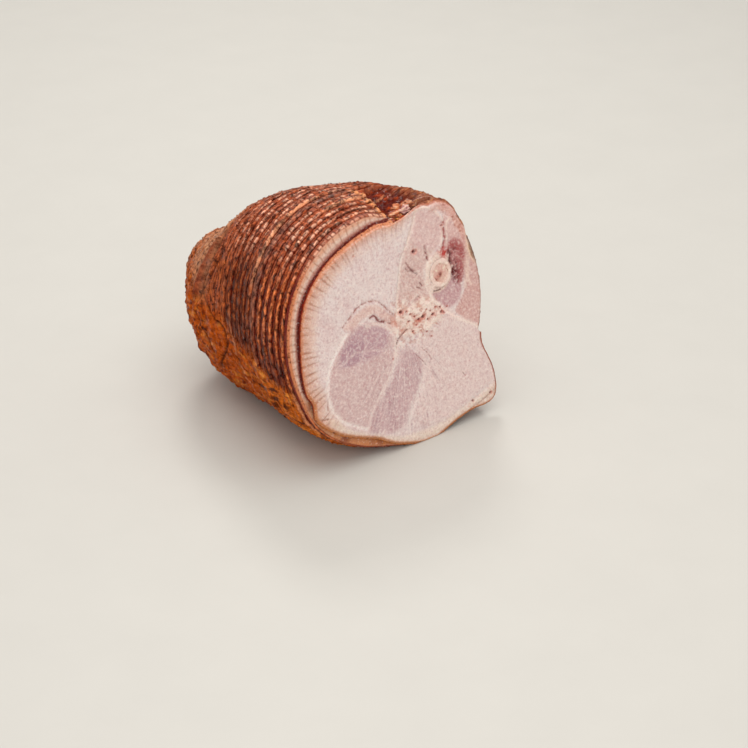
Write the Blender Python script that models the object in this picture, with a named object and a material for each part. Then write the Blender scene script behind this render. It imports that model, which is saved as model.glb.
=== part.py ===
"""Shank half of a ham on the bone, sliced in one continuous spiral and resting on its flattened underside.

The ham is modelled lying along its own length: x runs across the butt face, y from the butt face towards
the shank and z up the butt face. An empty tips that frame, so that the shank end dips, and stands it on
the floor. Lengths below are in millimetres and angles in degrees; MM and radians() turn them into Blender's.
"""

import math

import bmesh
import bpy
from mathutils import Vector

MM = 0.001

# Stance of the whole ham.
TIP_DOWN = 12.0

# Outline of the butt face: angle anticlockwise from +x, and radius as a share of the section's half size.
OUTLINE = (
    (-165, 0.880),
    (-145, 0.890),
    (-120, 0.855),
    (-97, 0.860),
    (-75, 0.950),
    (-62, 0.940),
    (-52, 1.005),
    (-42, 1.155),
    (-33, 1.100),
    (-20, 0.930),
    (-8, 0.935),
    (5, 0.970),
    (25, 1.020),
    (42, 1.075),
    (56, 1.105),
    (72, 0.955),
    (95, 0.920),
    (120, 0.925),
    (150, 0.915),
)

# Cross-sections: distance from the butt face, middle across, middle up, half width, half height,
# and how far the outline has become a plain ellipse.
SECTIONS = (
    (0, -20, 92, 100, 100, 0.0),
    (25, -17, 92, 101, 104, 0.1),
    (55, -15, 96, 98, 103, 0.3),
    (90, -14, 101, 90, 98, 0.5),
    (130, -18, 103, 79, 86, 0.8),
    (165, -26, 99, 63, 68, 1.0),
    (188, -27, 106, 46, 53, 1.0),
    (202, -27, 112, 36, 43, 1.0),
)

# Spiral cut: one turn per slice, wound clockwise from the butt face back to the shank.
COLUMNS = 40
SLICE = 8.0
TURNS = 16
FIRST_ANGLE = 66.0
CUT_WIDTH = 1.0
CUT_OPENS_OVER = 3
FADE_TURNS = 1.3
RIM_CROWN = 0.9
RIM_EDGE = -0.4
LAST_CUT_DEPTH = 0.3

# The spiral's thin first wedge has come away over these columns, which leaves a step in the face.
WEDGE_COLUMNS = 9

# The front slice has slipped sideways over the one behind it.
FRONT_SLIP = 7.5
SLIP_START_COLUMNS = 5
SLIP_END_COLUMNS = 6

# Groove along the top, beside the bone.
GROOVE_ANGLE = 77.0
GROOVE_WIDTH = 9.0
GROOVE_DEPTH = 6.0
GROOVE_LENGTH = 50.0

# Shank end behind the last slice.
SHANK_RINGS = (137, 141, 145, 150, 157, 165, 173, 181, 189, 196, 201.5)
LOBES_FULL_AT = 165.0
CAP_RINGS = ((205, 0.90), (206.5, 0.72), (205, 0.45))
CREASE_DISTANCE = 139.0
CREASE_SLANT = 0.3
CREASE_WIDTH = 5.0
CREASE_DEPTH = 5.0
CREASE_ANGLE = 145.0
CREASE_SPAN = 55.0
CREASE_TAPER = 1.5
LOBE_COUNT = 3
LOBE_SWELL = 0.035

# Bone: its middle at distances from the butt face, as (distance, across, up).
BONE_PATH = ((0, 37, 126), (45, 26, 124.5), (90, 14, 122), (135, -1, 117), (180, -17, 110))
BONE_RADIUS = 11.3
MARROW_RADIUS = 6.5
CORE_RADIUS = 15.5
FIT_GAP = 0.3
BONE_FRONT = 0.3
MARROW_FRONT = 0.6
BONE_END = 177.5
BORE_END = 178.0
MARROW_END = 165.0
BORE_FIRST_RING = 6.0

MEAT_LOOK = ((0.44, 0.17, 0.10, 1.0), 0.42)
BONE_LOOK = ((0.83, 0.72, 0.58, 1.0), 0.5)
MARROW_LOOK = ((0.70, 0.42, 0.34, 1.0), 0.55)


def clear_scene():
    for old in list(bpy.data.objects):
        bpy.data.objects.remove(old, do_unlink=True)


def ease(x):
    """Goes smoothly from 0 to 1 as x does."""
    x = min(max(x, 0.0), 1.0)
    return x * x * (3 - 2 * x)


def bump(x, middle, width):
    return math.exp(-(((x - middle) / width) ** 2))


def smooth_at(x, xs, ys):
    """Value at x of the smooth curve through the points (xs, ys)."""
    x = min(max(x, xs[0]), xs[-1])
    i = max(k for k in range(len(xs) - 1) if xs[k] <= x)
    span = xs[i + 1] - xs[i]

    def slope(k):
        low, high = max(k - 1, 0), min(k + 1, len(xs) - 1)
        return (ys[high] - ys[low]) / (xs[high] - xs[low])

    f = (x - xs[i]) / span
    start, end = ys[i], ys[i + 1]
    lift, fall = slope(i) * span, slope(i + 1) * span
    return (
        (2 * f**3 - 3 * f**2 + 1) * start
        + (f**3 - 2 * f**2 + f) * lift
        + (3 * f**2 - 2 * f**3) * end
        + (f**3 - f**2) * fall
    )


def wrapped(angle):
    """The same angle between -180 and 180."""
    return (angle + 180.0) % 360.0 - 180.0


def outline_at(angle):
    around = [a - 360 for a, _ in OUTLINE] + [a for a, _ in OUTLINE] + [a + 360 for a, _ in OUTLINE]
    radii = [r for _, r in OUTLINE] * 3
    return smooth_at(wrapped(angle), around, radii)


def section_at(distance):
    """Middle across, middle up, half width, half height and roundness at a distance from the face."""
    places = [row[0] for row in SECTIONS]
    return [smooth_at(distance, places, [row[k] for row in SECTIONS]) for k in range(1, 6)]


def dents_at(distance, angle):
    """What the groove and the crease take off the radius, and what the shank's lobes add to it."""
    groove = GROOVE_DEPTH * bump(wrapped(angle - GROOVE_ANGLE), 0, GROOVE_WIDTH)
    groove *= 1 - ease(distance / GROOVE_LENGTH)
    past = wrapped(angle - CREASE_ANGLE)
    crease = CREASE_DEPTH * bump(distance, CREASE_DISTANCE + CREASE_SLANT * past, CREASE_WIDTH)
    crease *= ease(CREASE_TAPER * (1 - abs(past) / CREASE_SPAN))
    return groove + crease


def above_floor(point):
    """Keeps a point out of the floor by sliding it up its own cross-section."""
    floor = point.y * math.tan(math.radians(TIP_DOWN))
    point.z = max(point.z, floor)
    return point


def skin(distance, angle, proud=0.0, slip=0.0, size=1.0):
    """Point of the outer surface, proud of it by so much and slipped across by so much."""
    across, up, half_width, half_height, roundness = section_at(distance)
    radius = outline_at(angle) * (1 - roundness) + roundness
    on_shank = ease((distance - SHANK_RINGS[0]) / (LOBES_FULL_AT - SHANK_RINGS[0]))
    radius *= 1 + LOBE_SWELL * on_shank * math.sin(math.radians(LOBE_COUNT * angle))
    out = proud - dents_at(distance, angle)
    turn = math.radians(angle)
    x = across + slip + (radius * size * half_width + out) * math.cos(turn)
    z = up + (radius * size * half_height + out) * math.sin(turn)
    return above_floor(Vector((x, distance, z)))


def bone_middle(distance):
    """Middle of the bone at a distance from the face, along straight runs between its path's points."""
    runs = list(zip(BONE_PATH[:-1], BONE_PATH[1:]))
    for (d0, x0, z0), (d1, x1, z1) in runs:
        if distance <= d1:
            break
    f = (distance - d0) / (d1 - d0)
    return Vector((x0 + f * (x1 - x0), distance, z0 + f * (z1 - z0)))


def column_angle(step):
    return FIRST_ANGLE - 360.0 * step / COLUMNS


def column_direction(step):
    """Direction from the bone to the outer surface in one column of the butt face."""
    out = skin(0.0, column_angle(step)) - bone_middle(0.0)
    return out.normalized()


def bone_point(distance, step, radius):
    return bone_middle(distance) + column_direction(step) * radius


def cut_distance(step):
    """How far from the butt face the spiral cut is, counted in columns from where it starts."""
    return SLICE * step / COLUMNS


def front_slip(step):
    """The slip of the slice whose rear cut is at this step: it grows from the step in the face, and ends
    with the front turn."""
    grown = ease((step - WEDGE_COLUMNS + 1) / SLIP_START_COLUMNS)
    left = ease((COLUMNS - step) / SLIP_END_COLUMNS)
    return FRONT_SLIP * grown * left


def cut_bottom(step):
    """Bottom of the spiral cut: beside the bone, and rising to the skin where the cut ends."""
    distance = cut_distance(step)
    rim = skin(distance, column_angle(step))
    middle = bone_middle(distance)
    core = middle + (rim - middle).normalized() * CORE_RADIUS
    end = TURNS * COLUMNS
    fade = ease((step - end) / (FADE_TURNS * COLUMNS) + 1.0)
    last = rim + (middle - rim).normalized() * LAST_CUT_DEPTH
    return core.lerp(last, fade)


class Surface:
    """A mesh built from named points and the faces between them."""

    def __init__(self):
        self.mesh = bmesh.new()
        self.points = {}

    def put(self, key, point):
        self.points[key] = self.mesh.verts.new(point * MM)

    def same(self, key, other):
        self.points[key] = self.points[other]

    def face(self, *keys):
        self.mesh.faces.new([self.points[key] for key in keys])

    def strip(self, row, other, start, stop, shift=0):
        """Triangles between step i of one row and step i + shift of the other."""
        for i in range(start, stop):
            j = i + shift
            self.face((row, i), (row, i + 1), (other, j + 1))
            self.face((row, i), (other, j + 1), (other, j))

    def ring_pair(self, ring, other):
        """Quads between two closed rings of COLUMNS points."""
        for i in range(COLUMNS):
            j = (i + 1) % COLUMNS
            self.face((ring, i), (ring, j), (other, j), (other, i))

    def cap(self, ring):
        self.face(*[(ring, i) for i in range(COLUMNS)])


def put_slices(surface):
    """Points of the spiral: each slice's front edge, crown and rear edge, and the bottom of each cut."""
    end = TURNS * COLUMNS
    half = CUT_WIDTH / 2
    for step in range(WEDGE_COLUMNS, end + COLUMNS + 1):
        angle = column_angle(step)
        slip = front_slip(step)
        behind_cut = cut_distance(step - COLUMNS)
        if step < COLUMNS:
            front = 0.0
        else:
            front = behind_cut + half * min(1.0, (step - COLUMNS) / CUT_OPENS_OVER)
        surface.put(("front", step), skin(front, angle, RIM_EDGE, slip))
        if step > end:
            continue
        rear = cut_distance(step) - half
        surface.put(("crown", step), skin((front + rear) / 2, angle, RIM_CROWN, slip))
        surface.put(("rear", step), skin(rear, angle, RIM_EDGE, slip))
    for step in range(0, end + 1):
        surface.put(("cut", step), cut_bottom(step))


def put_hub(surface):
    """Points around the bone's hole on the butt face, on both levels of the step."""
    bore = BONE_RADIUS + FIT_GAP
    for step in range(0, WEDGE_COLUMNS + 1):
        surface.put(("low hub", step), bone_point(cut_distance(step), step, bore))
    for step in range(WEDGE_COLUMNS, COLUMNS):
        surface.put(("hub", step), bone_point(0.0, step, bore))
        surface.put(("disc", step), bone_point(0.0, step, CORE_RADIUS))
    surface.same(("hub", COLUMNS), ("low hub", 0))
    surface.same(("disc", COLUMNS), ("cut", 0))


def join_slices(surface):
    end = TURNS * COLUMNS
    surface.strip("front", "crown", WEDGE_COLUMNS, end)
    surface.strip("crown", "rear", WEDGE_COLUMNS, end)
    surface.strip("cut", "rear", WEDGE_COLUMNS, end)
    surface.strip("cut", "front", 0, end, shift=COLUMNS)


def join_face(surface):
    """The butt face on its two levels, and the step between them."""
    step = WEDGE_COLUMNS
    surface.strip("low hub", "cut", 0, step)
    surface.strip("hub", "disc", step, COLUMNS)
    surface.strip("disc", "front", step, COLUMNS)
    surface.face(
        ("hub", step),
        ("disc", step),
        ("front", step),
        ("crown", step),
        ("rear", step),
        ("cut", step),
        ("low hub", step),
    )


def join_bore(surface):
    """The hole that the bone lies in, closed at its inner end."""
    places = [BORE_FIRST_RING] + [row[0] for row in BONE_PATH[1:-1]] + [BORE_END]
    for place in places:
        for i in range(COLUMNS):
            surface.put((place, i), bone_point(place, i, BONE_RADIUS + FIT_GAP))
    first = places[0]
    step = WEDGE_COLUMNS
    for i in range(0, step):
        surface.face(("low hub", i), ("low hub", i + 1), (first, i + 1), (first, i))
    for i in range(step + 1, COLUMNS):
        surface.face(("hub", i), ("hub", i + 1), (first, (i + 1) % COLUMNS), (first, i))
    surface.face(("hub", step + 1), (first, step + 1), (first, step))
    surface.face(("hub", step + 1), (first, step), ("low hub", step))
    surface.face(("hub", step + 1), ("low hub", step), ("hub", step))
    for ring, other in zip(places[:-1], places[1:]):
        surface.ring_pair(ring, other)
    surface.cap(places[-1])


def join_shank(surface):
    """The unsliced shank end, from the last front edge of the spiral to the domed end."""
    rings = [(distance, 1.0) for distance in SHANK_RINGS] + list(CAP_RINGS)
    for number, (distance, size) in enumerate(rings):
        for i in range(COLUMNS):
            surface.put((("shank", number), i), skin(distance, column_angle(i), size=size))
    end = TURNS * COLUMNS
    first = ("shank", 0)
    for i in range(1, COLUMNS):
        j = (i + 1) % COLUMNS
        surface.face(("front", end + i), ("front", end + i + 1), (first, j), (first, i))
    surface.face(
        ("front", end),
        ("crown", end),
        ("rear", end),
        ("cut", end),
        ("front", end + COLUMNS),
        (first, 0),
        (first, 1),
        ("front", end + 1),
    )
    for number in range(len(rings) - 1):
        surface.ring_pair(("shank", number), ("shank", number + 1))
    surface.cap(("shank", len(rings) - 1))


def finished(surface, name, look, parent):
    """Makes a Blender object of the surface, faces outwards, smooth where it is round."""
    bmesh.ops.recalc_face_normals(surface.mesh, faces=surface.mesh.faces)
    mesh = bpy.data.meshes.new(name)
    surface.mesh.to_mesh(mesh)
    surface.mesh.free()
    mesh.shade_smooth()
    mesh.set_sharp_from_angle(angle=math.radians(35))
    obj = bpy.data.objects.new(name, mesh)
    bpy.context.collection.objects.link(obj)
    obj.parent = parent
    material = bpy.data.materials.new(name)
    material.use_nodes = True
    shader = material.node_tree.nodes["Principled BSDF"]
    colour, roughness = look
    shader.inputs["Base Color"].default_value = colour
    shader.inputs["Roughness"].default_value = roughness
    shader.inputs["Metallic"].default_value = 0.0
    mesh.materials.append(material)
    return obj


def make_meat(parent):
    surface = Surface()
    put_slices(surface)
    put_hub(surface)
    join_slices(surface)
    join_face(surface)
    join_bore(surface)
    join_shank(surface)
    return finished(surface, "ham_meat", MEAT_LOOK, parent)


def put_rod(surface, name, radius, front, end):
    """Rings of a rod along the bone's path; returns their keys from front to end."""
    inner = [row[0] for row in BONE_PATH[1:-1] if front < row[0] < end]
    keys = []
    for place in [front, BORE_FIRST_RING] + inner + [end]:
        key = (name, place)
        for i in range(COLUMNS):
            surface.put((key, i), bone_point(place, i, radius))
        keys.append(key)
    for ring, other in zip(keys[:-1], keys[1:]):
        surface.ring_pair(ring, other)
    return keys


def make_bone(parent):
    """A tube that is open at the butt face and closed at its inner end."""
    surface = Surface()
    outer = put_rod(surface, "outer", BONE_RADIUS, BONE_FRONT, BONE_END)
    inner = put_rod(surface, "inner", MARROW_RADIUS + FIT_GAP, BONE_FRONT, MARROW_END + FIT_GAP)
    surface.ring_pair(outer[0], inner[0])
    surface.cap(outer[-1])
    surface.cap(inner[-1])
    return finished(surface, "bone", BONE_LOOK, parent)


def make_marrow(parent):
    surface = Surface()
    rings = put_rod(surface, "marrow", MARROW_RADIUS, MARROW_FRONT, MARROW_END)
    surface.cap(rings[0])
    surface.cap(rings[-1])
    return finished(surface, "marrow", MARROW_LOOK, parent)


def stand_on_floor(frame, ham):
    """Moves the frame so that the ham's box is centred over the origin, with its underside at z = 0."""
    bpy.context.view_layer.update()
    corners = [ham.matrix_world @ Vector(corner.co) for corner in ham.data.vertices]
    low = Vector(min(c[k] for c in corners) for k in range(3))
    high = Vector(max(c[k] for c in corners) for k in range(3))
    frame.location = Vector((-(low.x + high.x) / 2, -(low.y + high.y) / 2, -low.z))


def main():
    clear_scene()
    frame = bpy.data.objects.new("ham_frame", None)
    bpy.context.collection.objects.link(frame)
    frame.rotation_euler.x = -math.radians(TIP_DOWN)
    meat = make_meat(frame)
    make_bone(frame)
    make_marrow(frame)
    stand_on_floor(frame, meat)


main()
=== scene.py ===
"""Looks of a bone-in ham that is cut in one continuous spiral and lies on its side, butt face forward.

Lengths are in millimetres and angles in degrees. Shapes are worked out in the ham's own frame: x runs across
the butt face, y from that face towards the shank and z up the face. to_world() tips that frame and stands it
where the bone of the CAD model is. A turn counts how far the spiral cut has wound from the top of the face.
"""

import itertools
import math

import bpy
import numpy as np
from bpy.props import FloatProperty, FloatVectorProperty, PointerProperty
from bpy.types import Operator, Panel, PropertyGroup
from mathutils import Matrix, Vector


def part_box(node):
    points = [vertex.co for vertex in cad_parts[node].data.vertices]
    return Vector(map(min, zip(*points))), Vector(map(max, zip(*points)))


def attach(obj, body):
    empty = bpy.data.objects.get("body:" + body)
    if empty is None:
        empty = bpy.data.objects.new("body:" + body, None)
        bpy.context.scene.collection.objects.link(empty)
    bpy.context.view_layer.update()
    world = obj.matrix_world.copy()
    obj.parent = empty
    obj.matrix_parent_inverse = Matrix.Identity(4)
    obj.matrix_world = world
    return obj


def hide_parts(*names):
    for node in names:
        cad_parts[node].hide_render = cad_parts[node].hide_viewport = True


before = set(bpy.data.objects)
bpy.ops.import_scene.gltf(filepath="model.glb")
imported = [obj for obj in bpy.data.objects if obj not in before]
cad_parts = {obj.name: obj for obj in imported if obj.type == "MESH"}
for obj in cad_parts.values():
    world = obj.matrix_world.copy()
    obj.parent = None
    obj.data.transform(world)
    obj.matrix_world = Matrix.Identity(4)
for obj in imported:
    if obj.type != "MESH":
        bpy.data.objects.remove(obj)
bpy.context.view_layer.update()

bl_info = {
    "name": "Spiral Cut Ham",
    "version": (1, 0, 0),
    "blender": (4, 5, 0),
    "location": "3D View > Sidebar > Ham",
    "description": "Builds the meat, crust, bone and stage of a spiral cut ham",
    "category": "Object",
}

MM = 0.001

# ------------------------------------------------------------ True shape of the ham, as the CAD model has it

TIP_DOWN = 12.0

# Outline of the butt face: angle anticlockwise from +x, and radius as a share of the section's half size.
OUTLINE = (
    (-165, 0.880), (-145, 0.890), (-120, 0.855), (-97, 0.860), (-75, 0.950), (-62, 0.940), (-52, 1.005),
    (-42, 1.155), (-33, 1.100), (-20, 0.930), (-8, 0.935), (5, 0.970), (25, 1.020), (42, 1.075),
    (56, 1.105), (72, 0.955), (95, 0.920), (120, 0.925), (150, 0.915),
)

# Cross-sections: distance from the butt face, middle across, middle up, half width, half height,
# and how far the outline has become a plain ellipse.
SECTIONS = (
    (0, -20, 92, 100, 100, 0.0),
    (25, -17, 92, 101, 104, 0.1),
    (55, -15, 96, 98, 103, 0.3),
    (90, -14, 101, 90, 98, 0.5),
    (130, -18, 103, 79, 86, 0.8),
    (165, -26, 99, 63, 68, 1.0),
    (188, -27, 106, 46, 53, 1.0),
    (202, -27, 112, 36, 43, 1.0),
)

SLICE = 8.0
TURNS = 16
FIRST_ANGLE = 66.0
WEDGE_END = 0.225
FADE_TURNS = 1.3
FRONT_SLIP = 7.5
SLIP_STARTS, SLIP_GROWS_OVER, SLIP_LEAVES_OVER = 0.2, 0.125, 0.15

GROOVE_ANGLE, GROOVE_WIDTH, GROOVE_DEPTH, GROOVE_LENGTH = 77.0, 9.0, 6.0, 50.0
CREASE_DISTANCE, CREASE_SLANT, CREASE_WIDTH, CREASE_DEPTH = 139.0, 0.3, 5.0, 5.0
CREASE_ANGLE, CREASE_SPAN, CREASE_TAPER = 145.0, 55.0, 1.5
LOBES_FROM, LOBES_FULL_AT, LOBE_COUNT, LOBE_SWELL = 137.0, 165.0, 3, 0.035

# Domed end of the shank: distance from the butt face, and size as a share of the section there.
SHANK_CAP = ((201.5, 1.0), (205.0, 0.90), (206.5, 0.72), (205.5, 0.45), (204.0, 0.02))

BONE_AT = (37.0, 126.0)
BONE_RADIUS = 11.3
MARROW_RADIUS = 6.5
BONE_FRONT = 0.3

# How far the front slice's rim is drawn in, or bulges out where that is below 0, by angle, in mm.
FRONT_DRAWN_IN = (
    (0, 0.0), (16, 0.0), (27, -1.2), (31, -0.4), (35, -2.6), (40, -2.2), (44, -3.8), (48, -2.8), (54, 0.8),
    (58, 4.2), (62, 2.6), (66, 1.6), (76, 1.0), (84, 5.0), (94, 8.0), (104, 8.5), (115, 8.0), (127, 5.5),
    (138, 2.5), (150, 0.0), (172, 0.0), (184, -2.2), (193, -3.8), (200, -2.4), (206, -6.0), (214, -3.4),
    (225, 0.0), (238, 3.0), (248, 3.8), (255, 1.4), (263, -0.8), (288, -1.0), (298, -3.6), (314, -4.0),
    (326, -1.5), (336, 0.0),
)

# ------------------------------------------------------------ Outlines and lines on the butt face: across, up

FACE_MIDDLE = (-20.0, 92.0)

# The part of the face that the spiral's lost first wedge has laid bare, and how far round the bone it goes.
LAID_BARE = (
    (24, 196), (27, 160), (33, 138), (37, 126), (28, 113), (29, 104), (35, 96), (54, 83), (66, 73),
    (70.5, 68), (84, 58), (120, 60), (120, 190),
)
BARE_FROM, BARE_ROUND, BARE_TURNS = 103.0, 163.5, 1.6

# Muscles and fat: display colour, softness of the edge, share of the colour that is taken, height that the
# muscle stands proud, and outline. Later ones lie over earlier ones.
MUSCLES = (
    # Meat beside the bone.
    ((211, 179, 169), 3.0, 0.9, -0.5, (
        (20, 180), (33, 178), (43, 165), (41, 151), (29, 141), (21, 131), (22, 117), (25, 107), (7, 108),
        (-9, 108), (-6, 124), (-1, 140), (7, 156), (14, 168),
    )),
    # Muscle over the bone.
    ((214, 180, 174), 3.0, 0.9, 0.2, (
        (21, 179), (36, 178), (45, 165), (42, 152), (31, 146), (18, 152), (14, 165),
    )),
    # Meat to the right of the tendon.
    ((214, 172, 164), 3.0, 0.9, 0.1, (
        (47, 170), (57, 165), (66, 156), (70, 146), (66, 138), (55, 142), (49, 148),
    )),
    # Lobe on the right.
    ((205, 160, 151), 3.0, 0.95, 0.0, (
        (67, 150), (73, 146), (82, 123), (82, 92), (76, 68), (66, 76), (54, 84), (49, 92), (58, 103),
        (66, 117), (68, 134),
    )),
    # Darker meat under the bone.
    ((189, 144, 146), 3.5, 0.9, -0.2, (
        (27, 112), (35, 113), (42, 115), (48, 120), (53, 114), (57, 107), (51, 98), (41, 96), (34, 102),
        (29, 108),
    )),
    # Red meat at the hollow beside the bone.
    ((184, 110, 104), 4.0, 0.85, 0.0, (
        (48, 146), (56, 148), (63, 142), (64, 132), (62, 119), (58, 113), (52, 116), (49, 126), (47, 136),
    )),
    # Cream band right of the hollow.
    ((226, 190, 172), 2.5, 0.7, 0.2, (
        (66, 146), (69, 138), (67, 122), (65, 112), (60, 107), (62, 116), (64, 130),
    )),
    # Tan band over the inner muscle.
    ((214, 176, 164), 3.0, 0.8, 0.0, (
        (-61, 110), (-53, 116), (-42, 120), (-30, 120), (-20, 112), (-11, 101), (-13, 92), (-20, 100),
        (-30, 112), (-44, 112), (-54, 106),
    )),
    # Inner muscle at the lower left.
    ((200, 166, 162), 3.5, 0.8, 0.25, (
        (-57, 107), (-66, 98), (-77, 87), (-81, 77), (-84, 69), (-84, 59), (-81, 50), (-74, 39), (-62, 29),
        (-51, 24), (-45, 34), (-38, 43), (-29, 55), (-21, 67), (-15, 80), (-15, 90), (-23, 96), (-31, 105),
        (-45, 109),
    )),
    # Its purple upper part.
    ((182, 146, 152), 6.0, 0.85, 0.0, (
        (-67, 93), (-58, 102), (-43, 107), (-26, 102), (-21, 93), (-27, 83), (-42, 80), (-55, 80),
        (-67, 84),
    )),
    # Darkest corner of that part.
    ((168, 130, 140), 5.0, 0.7, -0.1, ((-68, 91), (-58, 98), (-44, 95), (-46, 86), (-58, 81), (-70, 83))),
    # Pale muscle at the right.
    ((220, 196, 190), 4.5, 0.9, 0.3, (
        (33, 99), (52, 86), (68, 73), (77, 58), (80, 40), (77, 28), (62, 23), (48, 17), (36, 13), (23, 10),
        (11, 11), (1, 14), (-5, 19), (-6, 27), (0, 36), (7, 46), (8, 58), (7, 68), (4, 80), (10, 86),
        (22, 90),
    )),
    # Streaky meat beside it.
    ((188, 150, 152), 6.0, 0.72, 0.1, (
        (-13, 77), (-4, 78), (7, 67), (5, 52), (-2, 40), (-7, 34), (-11, 28), (-15, 22), (-21, 18),
        (-30, 17), (-41, 20), (-50, 25), (-48, 33), (-43, 40), (-34, 47), (-22, 60),
    )),
    # Fat along the bottom.
    ((222, 200, 182), 4.0, 0.9, 0.35, (
        (-90, 46), (-80, 44), (-66, 31), (-42, 19), (-14, 10), (17, 9), (44, 14), (64, 19), (82, 24),
        (84, 18), (60, 8), (30, 2), (0, -4), (-30, 0), (-66, 16), (-92, 36),
    )),
    # Gristle under the bone.
    ((230, 206, 192), 4.0, 0.95, 0.4, (
        (-8, 115), (3, 110), (14, 112), (24, 110), (31, 103), (36, 97), (30, 91), (18, 87), (4, 86),
        (-8, 88), (-15, 96), (-12, 107),
    )),
    # Fat round the bone.
    ((230, 204, 188), 2.0, 0.85, 0.1, (
        (35, 143), (45, 140), (50, 128), (47, 116), (38, 111), (29, 112), (22, 120), (24, 133), (28, 139),
    )),
)

# Seams between muscles: display colour, width, strength, depth, and line.
SEAMS = (
    # From the top of the face down to the gristle.
    ((238, 222, 210), 1.2, 0.9, 0.9, (
        (21, 184), (20, 178), (17, 170), (8, 156), (0, 145), (-5, 128), (-8, 117), (-10, 106),
    )),
    # Step where the first wedge is lost.
    ((238, 218, 204), 1.4, 0.95, 0.2, (
        (24, 114), (28, 107), (33, 101), (39, 94), (48, 86), (58, 80), (69, 72),
    )),
    # Round the bone's left side.
    ((236, 216, 202), 1.4, 0.9, 0.4, ((28, 141), (24, 133), (22, 126), (22, 119), (25, 113))),
    # Tendon, one side and the other.
    ((240, 218, 204), 1.0, 0.95, -0.5, (
        (20, 180), (30, 180), (37, 176), (41, 172), (44, 168), (46, 165), (45, 161), (44, 156), (42, 150),
        (41, 145),
    )),
    ((238, 214, 200), 1.1, 0.95, -0.5, ((58, 166), (53, 165), (49, 162), (48, 156), (47, 150), (47, 144))),
    # White arc round the inner muscle.
    ((240, 228, 220), 1.5, 1.0, 0.3, (
        (-60, 105), (-69, 97), (-77, 88), (-82, 77), (-84, 67), (-84, 60), (-81, 50), (-74, 41), (-64, 34),
        (-54, 28),
    )),
    # Fat streaks in the inner muscle.
    ((222, 198, 192), 1.1, 0.6, 0.1, ((-66, 84), (-56, 89), (-48, 88), (-36, 86), (-21, 82), (-16, 80))),
    ((224, 200, 194), 1.0, 0.6, 0.1, ((-42, 99), (-45, 89), (-52, 79), (-59, 68))),
    ((232, 214, 206), 1.5, 0.7, 0.1, (
        (-15, 88), (-17, 78), (-22, 66), (-30, 56), (-41, 46), (-48, 36), (-52, 26),
    )),
    ((230, 212, 204), 1.4, 0.6, 0.1, ((10, 60), (4, 45), (-4, 34), (-10, 24), (-14, 16))),
    ((224, 206, 200), 1.2, 0.4, 0.1, ((-2, 80), (6, 68), (12, 54), (10, 38))),
    # Stalk of gristle into the lower muscle.
    ((234, 214, 204), 2.6, 0.8, 0.0, ((-14, 98), (-15, 90), (-16, 82), (-15, 74))),
    ((232, 210, 198), 1.6, 0.8, 0.1, ((-40, 106), (-30, 105), (-22, 100), (-15, 94))),
    # Edge of the fat along the bottom.
    ((228, 210, 196), 1.5, 0.4, 0.3, (
        (-62, 26), (-42, 17), (-16, 9), (14, 8), (44, 14), (64, 20), (76, 24),
    )),
    # Fold in the bottom fat.
    ((150, 92, 62), 0.7, 0.7, 1.0, ((40, 7), (52, 11), (62, 13), (76, 18), (84, 22))),
    # Between the muscle over the bone and the meat beside it.
    ((228, 202, 192), 1.2, 0.5, 0.1, ((3, 146), (14, 151), (24, 148), (30, 142), (36, 141))),
    # Over the cream band.
    ((236, 208, 192), 1.2, 0.8, -0.2, ((58, 133), (62, 127), (63, 121), (64, 115), (67, 108))),
    ((234, 202, 184), 1.4, 0.8, -0.2, ((61, 165), (64, 157), (67, 153), (67, 141), (65, 131), (63, 123))),
)

# Blood and dark meat, with painted shade in the cavity: display colour, width, strength, depth, and line.
STAINS = (
    # Along the tendon.
    ((150, 26, 20), 1.4, 0.95, 0.5, ((46, 165), (45.5, 156), (45.3, 150), (43.2, 145.5), (42, 141.5))),
    ((182, 40, 24), 4.0, 1.0, 0.1, ((41, 141.5), (43, 139.5), (45.2, 141))),
    # Cavity beside the bone: near-black red of blood and painted shade in the cavity.
    ((84, 10, 12), 1.9, 1.0, 1.6, (
        (49.3, 139), (48.9, 133), (49.6, 129), (51.1, 123.3), (51.2, 118.4), (53.5, 114.8),
    )),
    ((104, 16, 18), 2.9, 1.0, 1.2, ((49.3, 138.4), (51.4, 138.4), (54.6, 139.5))),
    ((80, 8, 12), 1.2, 1.0, 1.0, ((53.2, 132), (55.1, 128.5), (54.6, 125.7))),
    ((92, 12, 16), 2.8, 1.0, 1.2, ((52, 122.8), (54.1, 122.4), (55.7, 120.5), (55.5, 116))),
    ((152, 46, 48), 4.5, 0.75, 0.3, ((52, 145), (57, 143.4), (60.8, 138.6), (62.3, 133.5))),
    ((146, 46, 50), 4.1, 0.72, 0.4, ((57, 132), (59, 126), (58.6, 119), (56.6, 114))),
    # Beside the marrow.
    ((128, 66, 56), 0.6, 0.6, 0.3, ((40.9, 114), (44, 118), (45.5, 122))),
    # Dotted arc over the tan band.
    ((160, 92, 82), 0.7, 0.9, 0.6, (
        (-62, 112), (-53, 118), (-47, 122), (-39, 124), (-30, 123), (-23, 118), (-16, 110), (-12, 105),
    )),
    # Beside the gristle.
    ((196, 118, 96), 2.0, 0.8, 0.3, ((4, 96), (9, 96), (14, 95))),
    ((200, 128, 110), 2.0, 0.7, 0.3, ((-15, 105), (-12, 99), (-8, 94))),
)
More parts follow.
